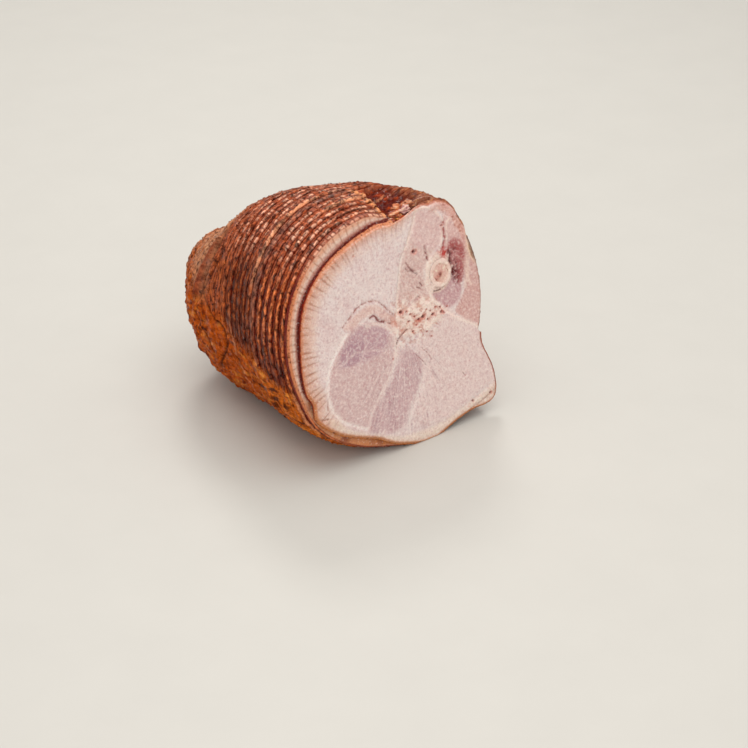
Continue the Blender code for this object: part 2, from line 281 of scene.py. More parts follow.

# Slits and tears, whose dark colour is partly painted shade inside them: display colour, width, depth, and
# line.
SLITS = (
    ((118, 14, 16), 1.05, 0.8, ((25.2, 150), (25.7, 145), (26.5, 139.2))),
    ((140, 72, 66), 0.42, 0.4, ((5, 143), (6.3, 141), (8, 139))),
    ((112, 40, 36), 0.52, 0.5, ((6.5, 139.4), (9.3, 136.6), (12.2, 134.5))),
    ((92, 30, 28), 0.60, 0.6, ((8.4, 136.5), (11.6, 133.4), (14.5, 131.2))),
    ((116, 48, 42), 0.50, 0.4, ((3.9, 138.8), (5.2, 136.8), (7, 135.3))),
    ((100, 36, 34), 0.55, 0.5, ((16.1, 123.9), (17.7, 120.9))),
    ((124, 56, 50), 0.48, 0.4, ((12.8, 121.3), (15.8, 119.5))),
    ((150, 90, 80), 0.34, 0.5, ((12.1, 114.4), (14.3, 112.7))),
    ((96, 14, 12), 0.65, 0.25, ((28.4, 113.4), (31.4, 112.8), (34.5, 112.6), (37.7, 113.1), (41, 114.2))),
    ((120, 30, 26), 0.9, 0.6, ((-36.1, 111.2), (-32.5, 112.1), (-29.3, 109.5))),
    ((116, 26, 24), 1.2, 0.6, ((-30, 108.6), (-27.2, 106.2), (-23, 104.4))),
    ((150, 80, 66), 0.60, 1.0, ((-20, 103), (-17, 101))),
    ((140, 74, 60), 0.50, 1.2, ((-3, 92), (-9, 89), (-13, 86), (-15, 82))),
    ((116, 52, 36), 0.65, 1.2, ((-97, 50), (-92, 48), (-87, 47))),
    ((150, 84, 64), 0.55, 0.8, ((-85, 61), (-86, 57), (-86, 54))),
    ((158, 104, 96), 0.40, 0.5, ((46, 42), (48, 39))),
    ((158, 104, 100), 0.40, 0.5, ((3, 70), (8, 64), (11, 59))),
    ((158, 104, 100), 0.40, 0.5, ((9, 74), (14, 68), (17, 62))),
)

# Holes, whose dark red middles are blood and painted shade: across, up, radius, depth.
HOLES = (
    (14.5, 149, 1.9, 2.4), (44, 162, 0.8, 0.9), (-6, 107, 1.7, 2.4), (-1, 106, 0.8, 1.2),
    (2, 103, 0.8, 1.2), (6, 100, 0.8, 1.0), (14.5, 97.5, 1.7, 2.4), (10, 96.5, 1.1, 1.4),
    (18.4, 94.3, 0.7, 1.2), (24.2, 96.4, 1.4, 2.0), (33.1, 96, 1.5, 2.4), (35.4, 94.6, 1.1, 1.8),
    (33.4, 99.1, 0.9, 1.2), (27.6, 101.3, 0.9, 1.2), (3, 89, 0.8, 1.2), (20, 80, 0.7, 1.0),
    (-43, 162, 0.8, 1.0), (53, 16, 0.9, 1.4), (72, 17, 1.0, 1.6), (-20, 74, 0.7, 0.8), (7, 93, 0.7, 0.8),
    (22, 100, 0.6, 0.7), (0, 98, 0.6, 0.7), (16, 85, 0.6, 0.7), (40.6, 97.4, 0.7, 0.4),
)
HOLE_FLATNESS = 1.25

# ------------------------------------------------------------ How finely the pieces are made

FACE_COLUMNS, FACE_RINGS = 640, 112
FACE_SHARES = (np.arange(1, FACE_RINGS + 1) / FACE_RINGS) ** 0.93
CORNER_ROWS, CROWN_ROWS = 6, 8
BAND_COLUMNS = 960
SHANK_COLUMNS, SHANK_ROWS, CAP_ROWS = 600, 104, 29
STRIP_MARGIN = 0.04
THINNEST_RIM, WELL_DEPTH, BARE_WALL_DEPTH = 0.8, 3.0, 20.0

# Rows down the rear wall of the front slice: mm past its crown, and mm in.
REAR_WALL = ((0.2, 0.15), (0.4, 0.45), (0.55, 0.9), (0.6, 2.0), (0.6, 5.0), (0.6, 9.0), (0.6, 14.0))

# Rows over a slice from the bottom of the cut in front of it: share of the slice, mm past that, and mm in.
SLICE_ROWS = (
    (0, 0.00, 6.0), (0, 0.42, 3.0), (0, 0.48, 1.2), (0, 0.60, 0.4), (0, 0.85, -0.1), (0, 1.25, -0.45),
    (0, 1.9, -0.60), (0, 2.7, -0.55), (0, 3.6, -0.45), (1, -3.4, -0.30), (1, -2.4, -0.15), (1, -1.5, 0.05),
    (1, -0.85, 0.3), (1, -0.55, 1.2), (1, -0.42, 3.0),
)

# Rows over the second slice's crown: mm past the cut in front of it, and mm in.
SECOND_SLICE_ROWS = (
    (1.9, -0.35), (2.7, -0.5), (3.6, -0.5), (4.6, -0.4), (5.6, -0.2), (6.5, 0.0), (7.1, 0.4), (7.4, 1.2),
    (7.5, 3.0), (7.5, 6.0),
)


# ------------------------------------------------------------ Sums, noise and lines

def shade(red, green, blue):
    """A display colour from 0 to 255, as linear light."""
    return tuple(((part / 255 + 0.055) / 1.055) ** 2.4 for part in (red, green, blue))


def ease(x):
    """Goes smoothly from 0 to 1 as x does."""
    x = np.clip(x, 0.0, 1.0)
    return x * x * (3 - 2 * x)


def bump(x, width):
    """1 at 0, falling off either way over a width."""
    return np.exp(-((x / width) ** 2))


def between(x, low, high, soft):
    """1 between low and high, easing to 0 across each of them."""
    return ease((x - low) / soft + 0.5) * ease((high - x) / soft + 0.5)


def wrapped(angle):
    """The same angle between -180 and 180."""
    return (angle + 180.0) % 360.0 - 180.0


NOISE_CELLS = 4096
NOISE_GAIN = 1.6
SEED_SHIFT = 31.7
CELL_PRIMES = (73856093, 19349663, 83492791)
LUCK_PRIMES = (7919, 104729)
GRADIENTS = np.random.default_rng(11).normal(size=(NOISE_CELLS, 3))
GRADIENTS /= np.linalg.norm(GRADIENTS, axis=1, keepdims=True)
LUCK = np.random.default_rng(23).random(NOISE_CELLS)


def lumps(points, size, seed=0):
    """Smooth noise between about -1 and 1, with lumps of the given size."""
    place = np.asarray(points, float) / size + SEED_SHIFT * seed
    cell = np.floor(place).astype(np.int64)
    part = place - cell
    fade = part**3 * (part * (part * 6 - 15) + 10)
    total = np.zeros(len(place))
    for corner in itertools.product((0, 1), repeat=3):
        pick = np.bitwise_xor.reduce((cell + corner) * CELL_PRIMES, axis=1) % NOISE_CELLS
        along = (GRADIENTS[pick] * (part - corner)).sum(1)
        total += along * np.where(corner, fade, 1 - fade).prod(1)
    return NOISE_GAIN * total


def fractal(points, size, seed=0, layers=3):
    """Noise with finer and weaker lumps added, still about -1 to 1."""
    total = sum(lumps(points, size / 2**k, seed + k) / 2**k for k in range(layers))
    return total / (2 - 2.0 ** (1 - layers))


def luck(number, seed=0):
    """A number from 0 to 1 that belongs to each whole number."""
    first, second = LUCK_PRIMES
    return LUCK[(np.asarray(number).astype(np.int64) * first + seed * second) % NOISE_CELLS]


def smooth_at(x, xs, ys):
    """Value at x of the smooth curve through the points (xs, ys)."""
    x = np.clip(x, xs[0], xs[-1])
    i = np.clip(np.searchsorted(xs, x, side="right") - 1, 0, len(xs) - 2)
    before = np.maximum(np.arange(len(xs)) - 1, 0)
    after = np.minimum(before + 2 - (np.arange(len(xs)) == 0), len(xs) - 1)
    slopes = (ys[after] - ys[before]) / (xs[after] - xs[before])
    span = xs[i + 1] - xs[i]
    f = (x - xs[i]) / span
    return (
        (2 * f**3 - 3 * f**2 + 1) * ys[i]
        + (f**3 - 2 * f**2 + f) * slopes[i] * span
        + (3 * f**2 - 2 * f**3) * ys[i + 1]
        + (f**3 - f**2) * slopes[i + 1] * span
    )


def smooth_line(points, closed=False, step=1.5):
    """Places about a step apart along the smooth line through the points."""
    points = np.array(points, float)
    if closed:
        ring = np.vstack([points[-1:], points, points[:2]])
    else:
        ring = np.vstack([2 * points[0] - points[1], points, 2 * points[-1] - points[-2]])
    runs = []
    for a, b, c, d in zip(ring[:-3], ring[1:-2], ring[2:-1], ring[3:]):
        count = max(2, int(np.hypot(*(c - b)) / step))
        f = np.linspace(0, 1, count, endpoint=False)[:, None]
        runs.append(
            b + ((c - a) * f + (2 * a - 5 * b + 4 * c - d) * f**2 + (3 * b - a - 3 * c + d) * f**3) / 2
        )
    return np.vstack(runs + [ring[-2:-1]])


def line_distance(place, line, reach):
    """How far each place is from a line, up to a reach."""
    found = np.full(len(place), float(reach))
    near = np.flatnonzero(((place > line.min(0) - reach) & (place < line.max(0) + reach)).all(1))
    spots = place[near]
    best = found[near]
    for start, end in zip(line[:-1], line[1:]):
        run = end - start
        f = np.clip((spots - start) @ run / max(run @ run, 1e-9), 0, 1)
        best = np.minimum(best, np.hypot(*(spots - start - f[:, None] * run).T))
    found[near] = best
    return found


def inside(place, outline, soft):
    """1 inside a closed outline and 0 outside it, easing across its edge."""
    line = smooth_line(outline, closed=True)
    odd = np.zeros(len(place), bool)
    x, z = place.T
    for (x0, z0), (x1, z1) in zip(line[:-1], line[1:]):
        if z0 != z1:
            odd ^= ((z0 > z) != (z1 > z)) & (x < x0 + (z - z0) * (x1 - x0) / (z1 - z0))
    gap = line_distance(place, line, soft)
    return ease(np.where(odd, gap, -gap) / soft + 0.5)


# ------------------------------------------------------------ The ham's surface

AROUND = np.array([a + turn for turn in (-360, 0, 360) for a, _ in OUTLINE], float)
RADII = np.array([radius for _ in range(3) for _, radius in OUTLINE])
SECTION_TABLE = np.array(SECTIONS, float)


def crease(distance, angle):
    """Distance past the crease between the slices and the shank, and the crease's depth, from 0 to 1."""
    past = wrapped(angle - CREASE_ANGLE)
    beyond = distance - CREASE_DISTANCE - CREASE_SLANT * past
    return beyond, bump(beyond, CREASE_WIDTH) * ease(CREASE_TAPER * (1 - abs(past) / CREASE_SPAN))


def skin(distance, angle, proud=0.0, slip=0.0, size=1.0):
    """Points of the outer surface, proud of it by so much and slipped across by so much."""
    distance, angle = np.broadcast_arrays(np.asarray(distance, float), np.asarray(angle, float))
    across, up, half_width, half_height, roundness = (
        smooth_at(distance, SECTION_TABLE[:, 0], SECTION_TABLE[:, k]) for k in range(1, 6)
    )
    radius = smooth_at(wrapped(angle), AROUND, RADII) * (1 - roundness) + roundness
    on_shank = ease((distance - LOBES_FROM) / (LOBES_FULL_AT - LOBES_FROM))
    radius = radius * (1 + LOBE_SWELL * on_shank * np.sin(np.radians(LOBE_COUNT * angle)))
    groove = GROOVE_DEPTH * bump(wrapped(angle - GROOVE_ANGLE), GROOVE_WIDTH)
    groove *= 1 - ease(distance / GROOVE_LENGTH)
    out = proud - groove - CREASE_DEPTH * crease(distance, angle)[1]
    turn = np.radians(angle)
    x = across + slip + (radius * size * half_width + out) * np.cos(turn)
    z = up + (radius * size * half_height + out) * np.sin(turn)
    return np.stack([x, distance + 0 * x, np.maximum(z, distance * math.tan(math.radians(TIP_DOWN)))], -1)


def turn_angle(turn):
    """Angle that the spiral cut has come to at a turn."""
    return FIRST_ANGLE - 360.0 * turn


def front_slip(turn):
    """How far the slice behind the cut at this turn has slipped across; only the front one has."""
    grown = ease((turn + 1 - SLIP_STARTS) / SLIP_GROWS_OVER)
    return FRONT_SLIP * grown * ease(-turn / SLIP_LEAVES_OVER)


def front_drawn_in(angle):
    """How far the front slice's rim lies inside the plain surface."""
    return smooth_at(angle % 360, *np.array(FRONT_DRAWN_IN).T)


def ham_origin():
    """Where the ham's own frame stands, told by the front end of the CAD model's bone."""
    low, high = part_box("bone")
    tip = math.radians(TIP_DOWN)
    across = high.x / MM - BONE_AT[0] - BONE_RADIUS
    along = low.y / MM - BONE_FRONT * math.cos(tip) - (BONE_AT[1] - BONE_RADIUS) * math.sin(tip)
    return across, along


ORIGIN = ham_origin()


def to_world(points):
    """Points of the ham's own frame in Blender's, in metres."""
    tip = math.radians(TIP_DOWN)
    x, y, z = np.asarray(points, float).T
    along = y * math.cos(tip) + z * math.sin(tip) + ORIGIN[1]
    return np.stack([x + ORIGIN[0], along, z * math.cos(tip) - y * math.sin(tip)], -1) * MM


# ------------------------------------------------------------ Grids of points as meshes

class Paint:
    """Colours of a piece's points, laid over one another."""

    def __init__(self, count, colour):
        self.colours = np.tile(np.asarray(colour, float), (count, 1))

    def over(self, colour, amount):
        amount = np.clip(amount, 0, 1)[:, None]
        self.colours += (np.asarray(colour) - self.colours) * amount

    def layers(self, *layers):
        """Lays display colours over it in turn, each as red, green, blue and amount."""
        for red, green, blue, amount in layers:
            self.over(shade(red, green, blue), amount)


class Weave:
    """Quads between rows and columns of points, with a place on the piece's flat pattern for each corner."""

    def __init__(self):
        self.quads = []
        self.pattern = []

    def join(self, index, pattern):
        """Adds the quads of a grid of point numbers; pattern gives each grid corner's flat place."""
        corners = (slice(None, -1), slice(None, -1)), (slice(1, None), slice(None, -1))
        corners += (slice(1, None), slice(1, None)), (slice(None, -1), slice(1, None))
        self.quads.append(np.stack([index[c] for c in corners], -1).reshape(-1, 4))
        self.pattern.append(np.stack([pattern[c] for c in corners], -2).reshape(-1, 4, 2))

    def join_strips(self, index, width):
        """Adds a long grid, laid out flat as strips of so many columns, one above another."""
        count = index.shape[1] - 1
        strips = math.ceil(count / width)
        upward = np.arange(len(index)) / (len(index) - 1)
        for strip in range(strips):
            columns = np.arange(strip * width, min((strip + 1) * width, count) + 1)
            along = (columns - columns[0]) / width
            over = (strip + STRIP_MARGIN + (1 - 2 * STRIP_MARGIN) * upward) / strips
            self.join(index[:, columns], np.stack(np.broadcast_arrays(along[None, :], over[:, None]), -1))

    def fan(self, middle, ring, middle_pattern, pattern):
        """Adds quads from one point to a ring of an even number of points, two ring sides to a quad."""
        first, second, third = slice(0, -2, 2), slice(1, -1, 2), slice(2, None, 2)
        centre = np.full(len(ring[first]), middle)
        self.quads.append(np.stack([centre, ring[first], ring[second], ring[third]], -1))
        flat = np.tile(middle_pattern, (len(centre), 1))
        self.pattern.append(np.stack([flat, pattern[first], pattern[second], pattern[third]], -2))


def ring_numbers(rows, columns):
    """Point numbers of a grid of closed rings, with the first column again at its end."""
    numbers = np.arange(rows * columns).reshape(rows, columns)
    return np.hstack([numbers, numbers[:, :1]])


def disc(reach, angles):
    """Flat pattern of a grid of closed rings: how far each lies from the middle, and its columns' angles."""
    around = np.radians(np.append(angles, 2 * angles[-1] - angles[-2]))
    return 0.5 + reach[:, None, None] * np.stack([np.cos(around), np.sin(around)], -1)


def piece(name, points, weave, tints, masks, flow, finish, node):
    """Makes an object of a woven grid that stands for a CAD node; flow is where its grain runs, in mm."""
    quads = np.vstack(weave.quads)
    mesh = bpy.data.meshes.new(name)
    mesh.vertices.add(len(points))
    mesh.vertices.foreach_set("co", to_world(points).astype(np.float32).ravel())
    mesh.loops.add(quads.size)
    mesh.loops.foreach_set("vertex_index", quads.astype(np.int32).ravel())
    mesh.polygons.add(len(quads))
    mesh.polygons.foreach_set("loop_start", np.arange(0, quads.size, 4, dtype=np.int32))
    layer = mesh.uv_layers.new(name="OFBake")
    layer.data.foreach_set("uv", np.vstack(weave.pattern).astype(np.float32).ravel())
    fields = [("tint", "FLOAT_COLOR", "color", np.hstack([tints, np.ones((len(points), 1))]))]
    fields += [(mask, "FLOAT", "value", values) for mask, values in masks.items()]
    fields += [("flow", "FLOAT_VECTOR", "vector", flow)]
    for field, kind, key, values in fields:
        attribute = mesh.attributes.new(field, kind, "POINT")
        attribute.data.foreach_set(key, np.asarray(values, np.float32).ravel())
    mesh.update(calc_edges=True)
    mesh.validate()
    mesh.shade_smooth()
    mesh.materials.append(material(finish))
    obj = bpy.data.objects.new(name, mesh)
    bpy.context.scene.collection.objects.link(obj)
    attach(obj, "root")
    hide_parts(node)


# ------------------------------------------------------------ Butt face

# Degrees from one score to the next on the rims and on the crust, and how long streaks are, in mm.
TICK_SPACING, SCORE_SPACING, STREAK_LENGTH = 4.0, 3.0, 26.0


def laid_bare_depth(place):
    """How far back the face lies where the first wedge is lost, which grows round the bone to a step."""
    across, up = (place - BONE_AT).T
    gone = ((BARE_FROM - np.degrees(np.arctan2(up, across))) % 360) / BARE_ROUND
    share = np.where(gone > BARE_TURNS, 0, np.minimum(gone, 1))
    return SLICE * WEDGE_END * share * inside(place, LAID_BARE, 1.0)


def score_cells(angle, spacing, shift, seed):
    """Degrees from the nearest score line, and the number of the cell between two lines."""
    place = angle / spacing + shift
    low = np.floor(place)

    def line(number):
        return number + 0.5 * (luck(number, seed) - 0.5)

    gap = np.minimum(abs(place - line(low)), abs(place - line(low + 1)))
    gap = np.minimum(gap, abs(place - line(low - 1)))
    cell = low + (place > line(low + 1)) - (place < line(low))
    return gap * spacing, cell


def rim_ticks(angle, inward):
    """Thin scores that run in from the rim of a slice, fewer on its left: 1 on a score, 0 beside it."""
    gap, cell = score_cells(angle, TICK_SPACING, 0.0, 0)
    width = 0.40 + 0.22 * luck(cell, 3)
    length = 6 + 14 * luck(cell, 1)
    fewer = 0.2 * ease(((angle % 360) - 125) / 25)
    shown = ease((luck(cell, 2) - fewer) * 6 + 1) * (0.6 + 0.4 * luck(cell, 4))
    return bump(gap, width) * (1 - ease(inward / length * 1.6 - 0.6)) * shown


def grain(place, depth, size, seed):
    """Noise over the butt face, from a layer of the noise at a depth."""
    across, up = place.T
    return fractal(np.stack([across, np.full(len(place), depth), up], 1), size, seed)


def streaks(place, middle, size, seed):
    """Noise drawn out along lines that fan out from a middle."""
    across, up = (place - middle).T
    away = np.hypot(across, up)
    turn = np.degrees(np.arctan2(up, across))
    return lumps(np.stack([turn / size, away / STREAK_LENGTH, away * 0], 1), 1.0, seed)


# Middles that streaks fan out from, and parts of the face with a grain of their own.
RAYS_FROM, FAN_FROM = (0, 70), (-5, 98)
STREAKY_MEAT = ((-50, 60), (-54, 26), (-20, 8), (20, 20), (26, 50), (12, 84), (-18, 86))
MEAT_BESIDE_BONE = ((-4, 150), (14, 146), (22, 136), (20, 116), (4, 108), (-8, 112))
GRISTLE = ((-17, 112), (-4, 118), (14, 116), (30, 108), (39, 96), (28, 86), (8, 80), (-14, 82))


def butt_face(place, inward, ham):
    """Depth and colours of the butt face at each place."""
    across, up = place.T
    depth = laid_bare_depth(place)
    paint = Paint(len(place), ham.meat_colour)
    soft = grain(place, 3.0, 16, 2)
    fine = grain(place, 3.0, 4.5, 3)
    paint.over(shade(202, 166, 165), 0.42 * ease(soft + 0.2))
    rays = streaks(place, RAYS_FROM, 2.2, 5)
    upper_left = 1 - ease((across + 5) / 20)
    near_rim = 1 - ease(inward / 55)
    paint.over(shade(201, 160, 154), 0.4 * upper_left * ease(rays) * near_rim)
    depth += 0.15 * upper_left * rays * near_rim
    for colour, soft_edge, strength, height, outline in MUSCLES:
        mask = inside(place + 1.4 * np.stack([fine, soft], 1), outline, soft_edge)
        paint.over(shade(*colour), strength * mask)
        depth -= height * mask
    fan = streaks(place, FAN_FROM, 1.3, 9)
    broken = ease(1.6 * grain(place, 5.0, 9.0, 19) + 0.5)
    lower = inside(place, STREAKY_MEAT, 14.0)
    paint.layers(
        (230, 210, 204, 0.55 * lower * broken * ease(fan * 1.6)),
        (150, 106, 116, 0.50 * lower * broken * ease(-fan * 1.6)),
    )
    depth += 0.25 * lower * fan * broken
    arcs = lumps(np.stack([(across + up) / 1.3, (across - up) / 9, 0 * up], 1), 1.0, 27)
    beside_bone = inside(place, MEAT_BESIDE_BONE, 8.0)
    paint.over(shade(178, 128, 122), 0.5 * beside_bone * ease(1.8 * arcs))
    depth += 0.2 * beside_bone * arcs
    marbling = 1 - ease(abs(grain(place, 9.0, 6.0, 21)) / 0.10)
    paint.over(shade(236, 218, 210), 0.32 * marbling)
    curd = grain(place, 4.0, 2.6, 22)
    paint.layers(
        (182, 134, 138, 0.42 * ease(2.0 * curd - 0.1)),
        (246, 230, 222, 0.42 * ease(-2.0 * curd - 0.1)),
    )
    crumbs = inside(place, GRISTLE, 7.0)
    knobs = grain(place, 1.0, 5.0, 33)
    depth -= 0.7 * crumbs * knobs
    paint.layers(
        (200, 148, 130, 0.7 * crumbs * ease(-2.6 * knobs - 0.1)),
        (242, 226, 212, 0.55 * crumbs * ease(2.6 * knobs - 0.1)),
        (168, 84, 62, 0.85 * crumbs * bump(knobs + 0.12, 0.08) * ease(2 * fine + 0.3)),
    )
    mark_face(place, depth, paint, soft, fine)
    return depth, paint


def mark_face(place, depth, paint, soft, fine):
    """Sinks and colours the face's seams, stains, slits and holes, with painted shade in the slits, holes and
    cavity.
    """
    sharp = grain(place, 2.0, 2.2, 44)
    wander = 0.5 * np.stack([fine, soft], 1)
    for colour, width, strength, groove, line in SEAMS:
        gap = line_distance(place + wander, smooth_line(line), 4 * width)
        paint.over(shade(*colour), strength * bump(gap, width) * (0.75 + 0.3 * fine))
        depth += groove * bump(gap, width * 0.8)
    for colour, width, strength, groove, line in STAINS:
        gap = line_distance(place + 1.2 * np.stack([fine, sharp], 1), smooth_line(line), 4 * width)
        blotch = bump(gap, width) * ease(0.8 + 1.4 * sharp + 0.8 * fine)
        paint.over(shade(*colour), strength * blotch)
        depth += groove * blotch
    for colour, width, cut, line in SLITS:
        gap = line_distance(place + 0.25 * wander, smooth_line(line), 4 * width)
        torn = bump(gap, width) * ease(0.9 + 2.0 * sharp)
        depth += cut * torn
        # A slit's dark colour is partly painted shade inside it.
        paint.over(shade(*colour), 0.95 * torn)
    for across, up, radius, hole in HOLES:
        gap = np.hypot(*((place - (across, up)) * (1, HOLE_FLATNESS)).T) + 0.6 * sharp + 0.3 * fine
        deep = 1 - ease((gap / radius - 0.5) / 0.7)
        depth += hole * deep
        # A hole's middle is painted dark red: blood and painted shade in the hole.
        paint.layers(
            (206, 110, 90, 0.6 * bump(gap - 1.2 * radius, 0.6 * radius)),
            (92, 14, 12, 0.95 * deep),
        )


def rim_of_face(paint, inward, angle, fine, ham):
    """The fat and the scores along the face's rim, and the browned edge itself."""
    around = angle % 360
    left = between(around, 68, 214, 20)
    bottom = between(around, 190, 318, 16)
    right = 1 - ease((left + bottom) * 1.5)
    width = 17 - 8 * between(around, 55, 120, 40)
    paint.over(ham.fat_colour, left * 0.95 * (1 - ease(inward / width)) * (0.9 + 0.25 * fine))
    paint.over(shade(228, 196, 174), left * 0.35 * bump(inward - 9, 4) * ease(0.6 + fine))
    ticks = rim_ticks(angle, inward) * (1 - 0.5 * between(around, 60, 112, 20))
    paint.layers(
        (152, 90, 58, 0.9 * left * ticks),
        (176, 116, 84, 0.35 * (1 - left) * ticks * (1 - ease(inward / 5))),
        (198, 122, 80, left * 0.7 * (1 - ease((inward - 0.2) / 1.1)) * ease(0.8 + fine)),
        (190, 118, 66, bottom * (1 - ease((inward - 0.2) / 2.4)) * 0.9),
        (150, 86, 66, right * (1 - ease((inward - 0.2) / 1.4)) * 0.9),
    )
    turned = wrapped(angle)
    top_right = between(turned, 33, 56, 7) * (1 - ease((inward - 6 - 2.0 * fine) / 3))
    flap = between(turned, 20, 30, 8)
    reach = 3.6 * flap + 0.4 * fine
    paint.layers(
        (208, 148, 132, 0.75 * top_right),
        (152, 78, 58, top_right * 0.75 * ease(2.4 * fine - 0.1)),
        # Pale flecks in the rough strip: partly painted highlight.
        (234, 196, 176, top_right * 0.6 * ease(-2.4 * fine - 0.2)),
        (168, 92, 58, between(turned, 30, 68, 6) * 0.9 * (1 - ease((inward - 0.4 - fine) / 1.2))),
        (232, 196, 166, flap * 0.8 * (1 - ease((inward - reach - 1.4) / 0.8))),
        (132, 92, 62, flap * 0.9 * (1 - ease((inward - reach) / 0.7))),
        (74, 56, 42, flap * 0.8 * (1 - ease((inward - 0.4 * reach) / 0.6))),
    )
    return ticks * left


# ------------------------------------------------------------ Crust

# Torn recess along the top, beside the muscle over the bone.
RECESS_BANK, RECESS_ACROSS, RECESS_LENGTH, RECESS_DEPTH = 78.0, 20.0, 52.0, 5.5

# Slices that stand proud with a pale edge: turn of the cut in front, how far it goes either way, and height.
PROUD_SLICES = (
    (4.95, 0.05, 1.2), (7.85, 0.075, 1.3), (9.30, 0.12, 0.5), (3.35, 0.10, 0.4), (11.60, 0.10, 0.6),
    (1.61, 0.035, 0.9),
)

# A slice whose crust is smooth: turns that it goes from and to, and how softly.
SMOOTH_SLICE = (6.70, 6.98, 0.08)

# Height of the rind's upper edge at the front, its rise for each mm back, and the same to add on the left.
RIND_HEIGHT, RIND_RISE, RIND_LEFT_HEIGHT, RIND_LEFT_RISE = 26.0, 0.36, 32.0, 0.14

# Folds and creases of the rind and the shank, with painted shade: colour, width, depth, and line of
# (distance, angle).
FOLDS = (
    ((78, 22, 14), 1.4, 2.0, ((122, 137), (121, 144), (126, 151), (136, 160))),
    ((70, 28, 14), 1.5, 2.2, ((119, 176), (109, 178), (105, 184), (112, 192), (121, 197), (137, 208))),
    ((84, 34, 16), 1.2, 1.6, ((141, 158), (130, 168), (120, 175))),
    ((96, 42, 20), 1.1, 1.3, ((150, 172), (138, 186), (132, 200))),
    ((90, 38, 18), 1.1, 1.2, ((98, 190), (88, 200), (84, 214))),
    ((96, 42, 18), 1.0, 1.0, ((76, 196), (66, 206), (60, 220))),
)
MM_PER_DEGREE = 1.5
GRAIN_RADIUS = 90.0


class Outside:
    """Places on the ham's outside, and what is known of each."""

    def __init__(self, distance, angle, turn, share, inset, slip=0.0, size=1.0):
        fields = np.broadcast_arrays(distance, angle, turn, share, inset, slip, size)
        distance, angle, turn, share, inset, slip, size = (np.array(f, float).ravel() for f in fields)
        self.distance, self.angle, self.turn = distance, angle, turn
        self.share, self.inset, self.slip = share, inset, slip
        self.base = skin(distance, angle, 0.0, 0.0, size)
        self.broad = fractal(self.base, 22.0, 1)
        self.middle = fractal(self.base, 7.0, 4)
        self.crumbs = ease(6 * (lumps(self.base, 2.6, 61) - 0.46))
        self.number = np.floor(turn)
        self.around = angle % 360
        gap, cell = score_cells(angle, SCORE_SPACING, luck(self.number, 5), 7)
        self.score = bump(gap, 0.34) * (1 - 0.75 * between(self.around, 140, 250, 30))
        self.cell = cell + 257 * self.number
        self.crown = ease((share - 0.02) / 0.14) * ease((0.98 - share) / 0.14)
        self.on_shank = ease((distance - 126) / 12)
        ragged = 14 * self.broad + 5 * self.middle
        left = RIND_LEFT_HEIGHT + RIND_LEFT_RISE * distance
        edge = RIND_HEIGHT + RIND_RISE * distance + left * between(self.around, 78, 262, 20)
        edge += ragged - self.base[:, 2]
        self.rind = ease(edge / (16 + 14 * self.on_shank) + 0.5)
        self.rind *= ease((turn - 0.9) / 1.2) * (1 - 0.9 * ease((distance - 190) / 12 + 3 * (1 - size)))
        patchy = 9 * self.broad + 5 * self.middle
        self.top_right = between(wrapped(angle) + patchy, 14, 70, 30)
        self.top_right *= 1 - ease((distance - 40 + patchy) / 34)
        bank = wrapped(angle - RECESS_BANK) + 1.6 * self.middle + 0.06 * distance
        near = 1 - ease((distance - RECESS_LENGTH) / 16)
        self.recess = (1 - ease(bank / 1.6 + 0.5)) * ease((bank + RECESS_ACROSS) / 7) * near
        self.bank = bump(bank - 1.6, 1.5) * near
        self.proud = sum(rise * between(turn, at - far, at + far, far) for at, far, rise in PROUD_SLICES)
        self.smooth = between(turn, *SMOOTH_SLICE)
        self.rough = np.clip(self.top_right + self.recess + self.rind + self.on_shank, 0, 1)
        self.fine = lumps(self.flow(2.2), 2.0, 8) * (1 - self.rough) + lumps(self.base, 2.4, 8) * self.rough
        self.scratch = lumps(self.flow(6.0), 1.3, 77)
        self.creased = crease(self.distance, angle)[1] * (1 - between(self.around, 128, 164, 16))

    def flow(self, stretch=3.0):
        """Where the grain runs: along the slices, anew in each, drawn out by so much."""
        along = 2 * math.pi * (self.turn - self.number) * GRAIN_RADIUS / stretch
        return np.stack([along, self.distance, 9.7 * self.number], 1)

    def relief(self):
        """How far the crust stands out of the plain surface."""
        rough = 0.5 * self.broad + 0.40 * self.middle + 0.32 * self.fine + 0.9 * self.crumbs
        rough += 0.8 * self.top_right * (self.middle + 0.3 * self.fine)
        rough += self.recess * (2.4 * self.middle + 0.8 * self.fine - RECESS_DEPTH) + 0.7 * self.bank
        rough += 0.85 * CREASE_DEPTH * self.creased
        own = lumps(np.stack([self.turn * 2.4, self.number * 3.1, self.turn * 0], 1), 1.0, 12)
        rough += 0.5 * (1 - self.on_shank) * own
        notch = 0.45 * self.score * self.crown * (1 - 0.8 * self.rough)
        folds = 2.2 * self.rind * fractal(self.base * (1, 0.35, 1), 7.0, 15)
        deep = sum(depth * near for _, depth, near in self.fold_lines())
        return rough + folds + self.proud * self.crown - notch - self.inset - deep

    def fold_lines(self):
        """Each fold's colour of painted shade and its depth, and how near it is, from 0 to 1."""
        spot = np.stack([self.distance, self.around * MM_PER_DEGREE], 1)
        spot += 0.8 * np.stack([self.middle, self.fine], 1)
        for colour, width, depth, line in FOLDS:
            path = smooth_line([(along, angle * MM_PER_DEGREE) for along, angle in line])
            yield colour, depth, bump(line_distance(spot, path, 4 * width), width)


def opening(turn, place):
    """How open the spiral cut is: closed where the rind and the rough crust hide it, and at its end."""
    fade = 1 - ease((turn - TURNS) / FADE_TURNS + 1)
    hidden = np.maximum.reduce([
        0.88 * place.rind * ease((turn - 2.0) / 1.5),
        0.75 * place.top_right,
        0.9 * place.recess,
        0.55 * ease((place.distance - 84) / 24),
    ])
    broken = 1 - ease((turn - 6) / 3) * 0.75 * ease(1.8 * place.middle + 0.2)
    return fade * broken * (1 - hidden)


